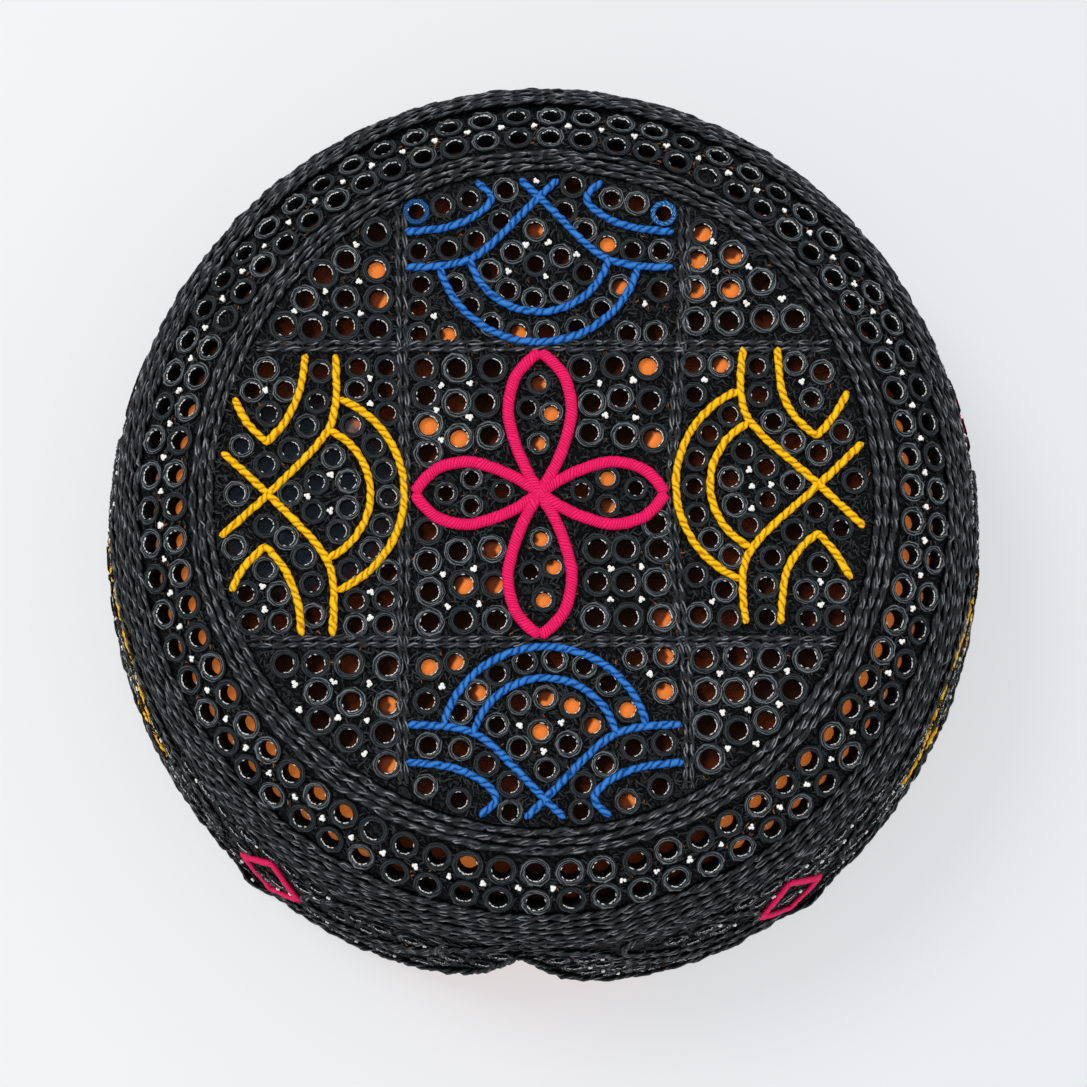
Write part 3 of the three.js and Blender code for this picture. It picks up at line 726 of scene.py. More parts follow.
    def eyelets(self, rng: random.Random) -> list[Eyelet]:
        """Every eyelet of the crown, with small differences of size, of how the lining lies and of its
        painted shade.
        """
        made = [Eyelet(place, size=0.80) for place in self.petals]
        made += [Eyelet(place) for place in self.centre + self.corners]
        made += [Eyelet(place, size=0.87) for place in self.left + self.right + self.back + self.front]
        for eyelet in made:
            x, y = eyelet.place
            eyelet.size *= rng.uniform(0.96, 1.04)
            eyelet.behind = rng.choice((Behind.HALF_PAINTED_SHADE, Behind.HALF_PAINTED_SHADE, Behind.FULL_PAINTED_SHADE, Behind.FULL_PAINTED_SHADE, Behind.FULL_PAINTED_SHADE))
            if x < -28 and abs(y) < 28:
                eyelet.behind = Behind.HALF_PAINTED_SHADE
            if any(math.hypot(x - tx, y - ty) < 2.2 for tx, ty in self.touching):
                eyelet.behind = Behind.TOUCHING
            eyelet.blue = y > 54.5 and 22 < abs(x) < 28
            # Painted shadow on the lining in the hole: the side of a line across it that stays unshaded, and
            # where the line lies; -9 leaves the whole hole unshaded.
            eyelet.lit_side = math.radians(-70 if x > 26 and y > 28 else -15) + rng.uniform(-0.5, 0.5)
            eyelet.lit_edge = rng.choice((-9.0, -9.0, -0.9, -0.4, 0.2, 0.6))
        return made


def ring_rows(form: CapForm, rng: random.Random) -> list[Eyelet]:
    """The shoulder's two rows of eyelets, as bearings and distances down the side."""
    made = []
    for z in (56.7, 53.7):
        for k in range(ROW_COUNT):
            bearing = -1.2 + 360 / ROW_COUNT * k
            bearing -= 360 if bearing > SEAM_BEARING else 0
            # Share of eyelets whose lining shows unshaded; the rest get half or full painted shade.
            lit = 1.0 if 25 < abs(bearing) < 100 else 0.06
            behind = Behind.TUBE
            if rng.random() >= lit:
                behind = rng.choice((Behind.HALF_PAINTED_SHADE, Behind.HALF_PAINTED_SHADE, Behind.FULL_PAINTED_SHADE))
            place = (bearing + rng.uniform(-0.2, 0.2), form.down_at(z) + rng.uniform(-0.2, 0.2))
            made.append(Eyelet(place, size=rng.uniform(0.95, 1.03), behind=behind))
    return made


# Cloth
@dataclass
class PiercedSheet:
    """A layer of cloth with holes in it, triangulated flat and then laid on the cap."""

    outline: list[Point]
    walled: list[bool]
    holes: list[list[Point]]
    step: float
    outer: Callable[[float, float], Vector]
    inner: Callable[[float, float], Vector]
    extra: list[Point] = field(default_factory=list)
    shade: Callable[[float, float], float] | None = None

    def _fill(self) -> list[Point]:
        """Places on an even grid inside the outline, clear of the holes and the edge."""
        clear = indexed([(x, y, 0) for loop in (*self.holes, self.outline, self.extra) for x, y in loop])
        xs, ys = zip(*self.outline)
        made = []
        rows = int((max(ys) - min(ys)) / (self.step * 0.87)) + 1
        for row in range(rows + 1):
            y = min(ys) + row * self.step * 0.87
            columns = int((max(xs) - min(xs)) / self.step) + 1
            for column in range(columns + 1):
                x = min(xs) + (column + 0.5 * (row % 2)) * self.step
                if clear.find((x, y, 0))[2] >= self.step * 0.55:
                    made.append((x, y))
        return made

    def make(self, name: str) -> bpy.types.Object:
        """Triangulates the sheet and builds both its faces and the walls between them."""
        places = list(self.outline)
        owner = [-1] * len(places)
        edges = [(i, (i + 1) % len(places)) for i in range(len(places))]
        for number, hole in enumerate(self.holes):
            first = len(places)
            places += hole
            owner += [number] * len(hole)
            edges += [(first + i, first + (i + 1) % len(hole)) for i in range(len(hole))]
        fill = self._fill() + self.extra
        places += fill
        owner += [-1] * len(fill)
        flat, _, faces, origin, _, _ = delaunay_2d_cdt([Vector(p) for p in places], edges, [], 1, 1e-6)
        source = [group[0] if group else -1 for group in origin]
        tags = [owner[i] if i >= 0 else -1 for i in source]
        top = [self.outer(p.x, p.y) for p in flat]
        low = [self.inner(p.x, p.y) for p in flat]
        count = len(flat)
        kept = [f for f in faces if not (tags[f[0]] >= 0 and tags[f[0]] == tags[f[1]] == tags[f[2]])]
        back = {i: n for n, i in enumerate(source) if i >= 0}
        made = [tuple(f) for f in kept] + [tuple(i + count for i in reversed(f)) for f in kept]
        walls = [(a, b) for (a, b), solid in zip(edges, self.walled) if solid] + edges[len(self.outline):]
        for a, b in walls:
            if a in back and b in back:
                a, b = back[a], back[b]
                made.append((a, b, b + count, a + count))
        piece = new_object(name, top + low, made)
        if self.shade:
            # The painted shade level on the outer face; the inner face gets 0.
            set_attribute(piece.data, "painted_shade_level", [self.shade(p.x, p.y) for p in flat] + [0.0] * count)
        build = bmesh.new()
        build.from_mesh(piece.data)
        bmesh.ops.remove_doubles(build, verts=build.verts, dist=2e-6)
        bmesh.ops.recalc_face_normals(build, faces=build.faces)
        build.to_mesh(piece.data)
        build.free()
        piece.data.shade_smooth()
        return piece


def circle(centre: Point, radius: float, count: int, across: float = 1.0) -> list[Point]:
    """A loop around a centre; across widens it for a layout where one unit isn't one millimetre."""
    x, y = centre
    return [
        (x + radius * across * math.cos(math.tau * i / count), y + radius * math.sin(math.tau * i / count))
        for i in range(count)
    ]


def dotted(centre: Point) -> list[Point]:
    """Places that fill a hole's width: two rings and the middle."""
    return [*circle(centre, 2.05, 10), *circle(centre, 1.05, 6), centre]


def stepped(start: Point, end: Point, step: float) -> list[Point]:
    """Even places from start up to, but not at, end."""
    count = max(1, round(math.dist(start, end) / step))
    return [
        (start[0] + (end[0] - start[0]) * i / count, start[1] + (end[1] - start[1]) * i / count)
        for i in range(count)
    ]


# Node trees
class LaidTree:
    """A geometry node group with named inputs that is run on an object and leaves a plain mesh."""

    def __init__(self, name: str, inputs: dict[str, str]) -> None:
        """Makes the group and its sockets; each input is given by its name and kind, in order."""
        self.tree = bpy.data.node_groups.new(name, "GeometryNodeTree")
        self.sockets = {}
        for label, kind in inputs.items():
            item = self.tree.interface.new_socket(label, in_out="INPUT", socket_type=f"NodeSocket{kind}")
            self.sockets[label] = item.identifier
        self.tree.interface.new_socket("Pieces", in_out="OUTPUT", socket_type="NodeSocketGeometry")
        self.sheet = Sheet(self.tree)
        self.start = self.sheet.node("NodeGroupInput").outputs
        self.facing = self.sheet.named("facing")

    def even_line(self, step: object) -> bpy.types.NodeSocket:
        """The path as a curve with even steps."""
        curve = self.sheet.node("GeometryNodeMeshToCurve", None, {0: self.start["Path"]}).outputs[0]
        sockets = {"Curve": curve, "Length": step}
        return self.sheet.node("GeometryNodeResampleCurve", {"mode": "LENGTH"}, sockets).outputs[0]

    def skin(
        self, line: object, sides: int, radius: object, girth: object, spread: object = None
    ) -> bpy.types.NodeSocket:
        """Skins a line.

        Args:
            line: the curve.
            sides: how many faces go around it.
            radius: the profile's radius.
            girth: how thick it is at each point, as a share.
            spread: the profile's scale, for an oval one.

        Returns:
            The mesh, which stores how far around each point lies, from -0.5 to 0.5 with 0 at the top.
        """
        sheet = self.sheet
        upright = sheet.node(
            "GeometryNodeSetCurveNormal", {"mode": "FREE"}, {"Curve": line, "Normal": self.facing}
        ).outputs[0]
        sockets = {"Resolution": sides, "Radius": radius}
        profile = sheet.node("GeometryNodeCurvePrimitiveCircle", None, sockets).outputs[0]
        from_top = (sheet.number("GeometryNodeSplineParameter", None, {}) + 0.5).fraction() - 0.5
        around = sheet.stored(profile, "round", from_top)
        if spread is not None:
            sockets = {"Geometry": around, "Scale": spread}
            around = sheet.node("GeometryNodeTransform", None, sockets).outputs[0]
        sockets = {"Curve": upright, "Profile Curve": around, "Scale": girth, "Fill Caps": True}
        return sheet.node("GeometryNodeCurveToMesh", None, sockets).outputs[0]

    def crested(self, skin: bpy.types.NodeSocket) -> bpy.types.NodeSocket:
        """Stores how much each point of a skin looks straight out of the cloth, which the thread finishes use
        to paint shade and highlights.
        """
        normal = self.sheet.node("GeometryNodeInputNormal").outputs[0]
        sides = {0: normal, 1: self.facing}
        share = self.sheet.number("ShaderNodeVectorMath", {"operation": "DOT_PRODUCT"}, sides, output=1)
        return self.sheet.stored(skin, "crest", share)

    def smoothed(self, skin: bpy.types.NodeSocket) -> bpy.types.NodeSocket:
        """A crested skin with smooth faces."""
        sockets = {"Geometry": self.crested(skin)}
        return self.sheet.node("GeometryNodeSetShadeSmooth", None, sockets).outputs[0]

    def end(self, shape: bpy.types.NodeSocket) -> None:
        """Ends the group with real meshes in the finish."""
        real = self.sheet.node("GeometryNodeRealizeInstances", None, {"Geometry": shape}).outputs[0]
        sockets = {"Geometry": real, "Material": self.start["Finish"]}
        finish = self.sheet.node("GeometryNodeSetMaterial", None, sockets)
        self.sheet.node("NodeGroupOutput", None, {0: finish.outputs[0]})

    def run(
        self, name: str, source: bpy.types.Object, values: dict[str, object], *helpers: bpy.types.Object
    ) -> bpy.types.Object:
        """Runs the group on an object with its inputs set; returns the plain mesh object."""
        modifier = source.modifiers.new("laid", "NODES")
        modifier.node_group = self.tree
        for label, value in values.items():
            modifier[self.sockets[label]] = value
        return frozen(name, source, helpers)


class StampTree(LaidTree):
    """Sets one small shape at many points: turned to face out, scaled, and given a small random turn."""

    def __init__(self) -> None:
        """Builds the tree once for all that repeats."""
        super().__init__("stamp", {
            "Points": "Geometry", "Shape": "Object", "Turn": "Float", "Seed": "Int", "Finish": "Material",
        })
        sheet, start = self.sheet, self.start
        shape = sheet.node("GeometryNodeObjectInfo", None, {"Object": start["Shape"]})
        axes = sheet.node(
            "FunctionNodeAxesToRotation",
            {"primary_axis": "Z", "secondary_axis": "X"},
            {0: self.facing, 1: sheet.named("beside")},
        )
        stamped = sheet.node("GeometryNodeInstanceOnPoints", None, {
            "Points": start["Points"], "Instance": shape.outputs["Geometry"], "Rotation": axes.outputs[0],
            "Scale": sheet.named("size", "FLOAT"),
        })
        limits = {"Min": -1.0, "Max": 1.0, "Seed": start["Seed"]}
        spin = sheet.number("FunctionNodeRandomValue", {"data_type": "FLOAT"}, limits, output=1)
        turn = sheet.node("ShaderNodeCombineXYZ", None, {2: spin * start["Turn"]})
        sockets = {"Instances": stamped.outputs[0], "Rotation": turn.outputs[0]}
        turned = sheet.node("GeometryNodeRotateInstances", None, sockets)
        real = sheet.node("GeometryNodeRealizeInstances", None, {"Geometry": turned.outputs[0]})
        self.end(self.crested(real.outputs[0]))

    def stamp(
        self,
        name: str,
        shape: bpy.types.Object,
        seats: Sequence[Seat],
        besides: Sequence[Vector],
        sizes: Sequence[float],
        tones: Sequence[float],
        finish: bpy.types.Material,
        turn: float = math.pi,
        seed: int = 1,
    ) -> bpy.types.Object:
        """Stamps a shape.

        Args:
            name: the new piece's name.
            shape: the shape, around the origin, facing +Z; it is removed afterwards.
            seats: points and the ways out of the cloth.
            besides: the way each shape's own X axis leans.
            sizes: a scale for each point.
            tones: a lightness from 0 to 1 for each point.
            finish: the material.
            turn: the largest random turn, in radians.
            seed: the turn's seed.

        Returns:
            The plain mesh object.
        """
        points = new_object(name + "_points", [point for point, _ in seats])
        facings = [normal for _, normal in seats]
        for label, values in (("facing", facings), ("beside", besides), ("size", sizes), ("tone", tones)):
            set_attribute(points.data, label, values)
        return self.run(name, points, {"Shape": shape, "Turn": turn, "Seed": seed, "Finish": finish}, shape)


class RopeTree(LaidTree):
    """Lays twisted strands along a path, each a round strand that winds about the path's line."""

    def __init__(self, strands: int) -> None:
        """Builds the tree for a rope of so many strands."""
        super().__init__(f"rope_of_{strands}", {
            "Path": "Geometry", "Strand Radius": "Float", "Lay Radius": "Float", "Pitch": "Float",
            "Flatten": "Float", "Wobble": "Float", "Step": "Float", "Seed": "Float", "Finish": "Material",
        })
        sheet, start = self.sheet, self.start
        even = self.even_line(start["Step"])
        run = sheet.number("GeometryNodeSplineParameter", None, {}, output=1)
        tangent = sheet.node("GeometryNodeInputTangent").outputs[0]
        side = sheet.vector("NORMALIZE", sheet.vector("CROSS_PRODUCT", tangent, self.facing))
        place = sheet.node("GeometryNodeInputPosition").outputs[0]
        lay = Number(sheet, start["Lay Radius"])
        join = sheet.node("GeometryNodeJoinGeometry")
        for number in range(strands):
            shift = Number(sheet, start["Seed"]) + number * 7.3
            shaken = sheet.noise(place, 240.0, seed=shift).outputs
            slip = (Number(sheet, shaken[0]) - 0.5) * 7
            angle = run * math.tau / start["Pitch"] + math.tau * number / strands + slip
            over = sheet.scaled(self.facing, angle.sine() * lay * start["Flatten"])
            beside = sheet.scaled(side, angle.cosine() * lay)
            loose = sheet.scaled(sheet.vector("SUBTRACT", shaken["Color"], (0.5,) * 3), start["Wobble"])
            offset = sheet.vector("ADD", sheet.vector("ADD", over, beside), loose)
            toned = sheet.stored(sheet.stored(even, "run", run), "tone", shaken[0])
            moved = sheet.node("GeometryNodeSetPosition", None, {"Geometry": toned, "Offset": offset})
            girth = sheet.grain(place, 330.0, 1.0, shift + 3.1).between(0.3, 0.7) * 0.65 + 0.65
            skin = self.skin(moved.outputs[0], 5, start["Strand Radius"], girth)
            self.tree.links.new(skin, join.inputs[0])
        self.end(self.smoothed(join.outputs[0]))


def path_along(name: str, seats: Sequence[Seat], closed: bool) -> bpy.types.Object:
    """A line of edges along seats that knows the way out of the cloth."""
    last = len(seats) - 1
    edges = [(i, i + 1) for i in range(last)] + ([(last, 0)] if closed else [])
    path = new_object(name + "_path", [point for point, _ in seats], edges=edges)
    set_attribute(path.data, "facing", [normal for _, normal in seats])
    return path


@dataclass(frozen=True)
class Rope:
    """A twisted rope's sizes, in millimetres."""

    strand: float = 0.52
    lay: float = 0.42
    pitch: float = 6.5
    flatten: float = 0.7
    wobble: float = 0.35
    step: float = 0.9
    strands: int = 2

    def along(
        self,
        name: str,
        seats: Sequence[Seat],
        finish: bpy.types.Material,
        trees: dict[int, RopeTree],
        closed: bool = False,
        seed: float = 0.0,
    ) -> bpy.types.Object:
        """Lays the rope along seats that lie on the cloth, with its middle as high as the seats are.

        Args:
            name: the piece's name.
            seats: points and the ways out of the cloth.
            finish: the material.
            trees: rope trees by their number of strands, filled as needed.
            closed: whether the rope joins itself.
            seed: shifts the rope's unevenness.

        Returns:
            The plain mesh object.
        """
        pitch = self.pitch * MM
        if closed:
            points = [point for point, _ in seats]
            length = sum((b - a).length for a, b in zip(points, [*points[1:], points[0]]))
            pitch = length / max(1, round(length / pitch))
        if self.strands not in trees:
            trees[self.strands] = RopeTree(self.strands)
        return trees[self.strands].run(name, path_along(name, seats, closed), {
            "Strand Radius": self.strand * MM, "Lay Radius": self.lay * MM, "Pitch": pitch,
            "Flatten": self.flatten, "Wobble": self.wobble * MM, "Step": self.step * MM,
            "Seed": seed, "Finish": finish,
        })


class SatinTree(LaidTree):
    """Wraps a cord with fine turns of thread: a low round body with a ridge for each turn."""

    def __init__(self) -> None:
        """Builds the tree."""
        super().__init__("satin_cord", {
            "Path": "Geometry", "Half Width": "Float", "Half Height": "Float", "Turn": "Float",
            "Ridge": "Float", "Rounding": "Float", "Seed": "Float", "Finish": "Material",
        })
        sheet, start = self.sheet, self.start
        turn = Number(sheet, start["Turn"])
        even = self.even_line(SATIN_STEP)
        spline = sheet.node("GeometryNodeSplineParameter")
        factor, run = Number(sheet, spline.outputs[0]), Number(sheet, spline.outputs[1])
        end = (run / factor - run).least(run) / start["Rounding"]
        girth = 1 - (1 - end.least(1.0)) * (1 - end.least(1.0)) * 0.6
        place = sheet.node("GeometryNodeInputPosition").outputs[0]
        blur = sheet.grain(place, 500.0, 1.0, start["Seed"])
        kept = sheet.stored(even, "run", run + (blur - 0.5) * turn * 1.5)
        sizes = {0: start["Half Height"], 1: start["Half Width"], 2: 1.0}
        spread = sheet.node("ShaderNodeCombineXYZ", None, sizes).outputs[0]
        skin = self.skin(kept, 10, 1.0, girth, spread)
        lean = (Number(sheet, sheet.named("round", "FLOAT")) * math.tau).sine() * 1.1
        ridge = (Number(sheet, sheet.named("run", "FLOAT")) / turn * math.pi + lean).sine().size() - 0.5
        normal = sheet.node("GeometryNodeInputNormal").outputs[0]
        push = sheet.scaled(normal, ridge * start["Ridge"] + (blur - 0.5) * start["Ridge"] * 3)
        shaped = sheet.node("GeometryNodeSetPosition", None, {"Geometry": skin, "Offset": push})
        self.end(self.smoothed(shaped.outputs[0]))

    def along(
        self,
        name: str,
        seats: Sequence[Seat],
        finish: bpy.types.Material,
        half_width: float,
        half_height: float,
        turn: float = 1.1,
        ridge: float = 0.12,
        rounding: float = 0.9,
        seed: float = 0.0,
        closed: bool = False,
    ) -> bpy.types.Object:
        """Wraps a cord along seats; the sizes are in millimetres."""
        return self.run(name, path_along(name, seats, closed), {
            "Half Width": half_width * MM, "Half Height": half_height * MM, "Turn": turn * MM,
            "Ridge": ridge * MM, "Rounding": 1e-6 if closed else rounding * MM,
            "Seed": seed, "Finish": finish,
        })


# Small shapes that are stamped
def strand(name: str, path: Sequence[tuple[float, float, float, float]], sides: int = 4) -> bpy.types.Object:
    """A short closed strand around the origin.

    Args:
        name: the object's name.
        path: x, y, z and the strand's radius at each station, in millimetres.
        sides: how many faces go around it.

    Returns:
        The object, with its lay stored on it.
    """
    spots = [Vector(station[:3]) for station in path]
    points, lay, turn = [], [], []
    length = 0.0
    for i, (spot, station) in enumerate(zip(spots, path)):
        ahead, behind = spots[min(i + 1, len(spots) - 1)], spots[max(i - 1, 0)]
        along = (ahead - behind).normalized()
        side = along.cross(Vector((0, 0, 1))).normalized()
        up = side.cross(along)
        length += (spot - behind).length
        for j in range(sides):
            angle = math.tau * (j + 0.5) / sides
            points.append((spot + (side * math.cos(angle) + up * math.sin(angle)) * station[3]) * MM)
            lay.append(length * MM)
            turn.append(j / sides)
    last = (len(path) - 1) * sides
    faces = [
        (i + j, i + sides + j, i + sides + (j + 1) % sides, i + (j + 1) % sides)
        for i in range(0, last, sides)
        for j in range(sides)
    ]
    faces += [tuple(range(sides)), tuple(last + j for j in reversed(range(sides)))]
    shape = new_object(name, points, faces)
    set_attribute(shape.data, "run", lay)
    set_attribute(shape.data, "round", turn)
    shape.data.shade_smooth()
    return shape


def ground_stitch(length: float) -> bpy.types.Object:
    """A stitch that comes up out of the cloth, bends and goes down again."""
    half = length / 2
    return strand(
        "ground_stitch",
        (
            (-half, 0, -0.15, 0.12), (-half * 0.4, 0.3, 0.24, 0.19),
            (half * 0.4, 0.3, 0.24, 0.19), (half, 0, -0.15, 0.12),
        ),
    )


def edge_glint() -> bpy.types.Object:
    """A short pale thread along a hole's edge: a painted highlight where light catches the edge."""
    reach, radius = math.radians(11), 1.86
    stations = ((-reach, 0.07), (0, 0.14), (reach, 0.07))
    path = [(radius * math.cos(a), radius * math.sin(a), 0.42, girth) for a, girth in stations]
    return strand("edge_glint", path, sides=3)


def lump(radius: float, height: float) -> bpy.types.Object:
    """A small lumpy dome of thread."""
    rng = random.Random(12)
    build = bmesh.new()
    bmesh.ops.create_icosphere(build, subdivisions=1, radius=1.0)
    for vert in build.verts:
        grow = rng.uniform(0.75, 1.3)
        vert.co = Vector((vert.co.x * radius * grow, vert.co.y * radius * grow, vert.co.z * height)) * MM
    mesh = bpy.data.meshes.new("lump")
    build.to_mesh(mesh)
    build.free()
    return linked("lump", mesh)


def ridge(name: str, profile: Sequence[Point], lumpy: float, count: int = 16) -> bpy.types.Object:
    """A lumpy ring around an eyelet.

    Args:
        name: the object's name.
        profile: radius and height, from the outside in, in millimetres.
        lumpy: how far the lumps stand out, in millimetres.
        count: how many faces go around it.

    Returns:
        The object, with its lay stored on it.
    """
    rng = random.Random(len(profile))
    width = len(profile)
    points = []
    for i in range(count):
        angle = math.tau * (i + rng.uniform(-0.2, 0.2)) / count
        grow = lumpy * ((0.5 if i % 2 else -0.5) + rng.uniform(-0.5, 0.5))
        for j, (radius, height) in enumerate(profile):
            swell = grow if 0 < j < width - 1 else 0.0
            reach = radius + swell * 0.4
            points.append(Vector((reach * math.cos(angle), reach * math.sin(angle), height + swell)) * MM)
    faces = [
        (i * width + j, (i + 1) % count * width + j, (i + 1) % count * width + j + 1, i * width + j + 1)
        for i in range(count)
        for j in range(width - 1)
    ]
    shape = new_object(name, points, faces)
    around = []
    for polygon in shape.data.polygons:
        steps = [v // width for v in polygon.vertices]
        around += [count if step == 0 and max(steps) == count - 1 else step for step in steps]
    set_attribute(shape.data, "run", [step * math.tau * 2.4 * MM / count for step in around], "CORNER")
    set_attribute(shape.data, "round", [(i % width) * 0.3 for i in range(len(points))])
    shape.data.shade_smooth()
    return shape


def outer_ridge() -> bpy.types.Object:
    """The knotted outer edge of an eyelet's binding."""
    return ridge("outer_ridge", ((3.22, -0.2), (3.14, 0.42), (2.86, 0.66), (2.42, 0.44)), 0.22)


def inner_ridge(tube: float) -> bpy.types.Object:
    """The inner edge of an eyelet's binding, with the tube that runs down into the hole."""
    return ridge("inner_ridge", ((2.46, 0.44), (2.17, 0.56), (1.90, 0.38), (1.78, -tube)), 0.13)


# Motif lines
def smooth_line(points: Sequence[Point], steps: int) -> list[Point]:
    """Even places along a smooth curve through a few points."""
    spots = [Vector(p) for p in points]
    dense: list[Vector] = []
    for i in range(len(spots) - 1):
        before = spots[max(i - 1, 0)]
        after = spots[min(i + 2, len(spots) - 1)]
        for k in range(12):
            t = k / 12
            a, b = spots[i], spots[i + 1]
            first, second = (b - before) * 0.5, (after - a) * 0.5
            dense.append(
                a * (2 * t**3 - 3 * t**2 + 1)
                + first * (t**3 - 2 * t**2 + t)
                + b * (3 * t**2 - 2 * t**3)
                + second * (t**3 - t**2)
            )
    dense.append(spots[-1])
    lengths = np.concatenate([[0], np.cumsum([(b - a).length for a, b in zip(dense, dense[1:])])])
    wanted = np.linspace(0, lengths[-1], steps + 1)
    return [
        (
            float(np.interp(w, lengths, [p.x for p in dense])),
            float(np.interp(w, lengths, [p.y for p in dense])),
        )
        for w in wanted
    ]


def arc(middle: float, radius: float, half: float) -> list[Point]:
    """Even places along an arc about (middle, 0), up to half degrees to either side."""
    angles = [math.radians(half * (i / 20 - 1)) for i in range(41)]
    return [(middle - radius * math.cos(a), radius * math.sin(a)) for a in angles]


@dataclass(frozen=True)
class Motif:
    """A crown motif's cords as (out, across) places: crossing lines, hooks and two arcs."""

    cross: tuple[Point, ...]
    hook: tuple[Point, ...]
    centre: float
    radii: Point
    half_angles: Point

    def lattice(self) -> list[list[Point]]:
        """The lines and arcs that meet."""
        lines = [smooth_line([(out, way * across) for out, across in self.cross], 40) for way in (1, -1)]
        return lines + [arc(self.centre, *pair) for pair in zip(self.radii, self.half_angles)]

    def hooked(self, way: int) -> list[Point]:
        """One of the two hooks."""
        return smooth_line([(out, way * across) for out, across in self.hook], 36)


LEFT_MOTIF = Motif(
    cross=((40.8, 27.9), (40.8, 17.5), (43.6, 10.6), (53.7, 0), (62.8, -8.4)),
    hook=(
        (60.6, 19.2), (58.4, 14.8), (55.0, 11.1), (54.0, 10.4),
        (53.2, 11.2), (50.2, 15.0), (47.6, 21.4), (46.8, 27.9),
    ),
    centre=47.6,
    radii=(20.5, 13.9),
    half_angles=(68, 66),
)
RIGHT_MOTIF = Motif(
    cross=((39.2, 27.4), (38.7, 17.5), (41.9, 10.8), (53.7, 0), (62.4, -8.4)),
    hook=(
        (59.7, 18.6), (57.0, 13.9), (54.2, 10.5), (53.2, 9.8),
        (52.3, 10.5), (49.3, 13.4), (46.8, 18.5), (45.9, 27.4),
    ),
    centre=46.2,
    radii=(20.4, 13.7),
    half_angles=(67, 64),
)
BLUE_MOTIF = Motif(
    cross=((45.4, 26.4), (45.9, 18.0), (48.6, 11.2), (59.8, 0), (63.4, -3.8)),
    hook=((63.0, 12.5), (59.6, 9.4), (56.1, 12.4), (53.6, 18.2), (52.6, 26.6)),
    centre=50.4,
    radii=(20.2, 14.1),
    half_angles=(76, 78),
)


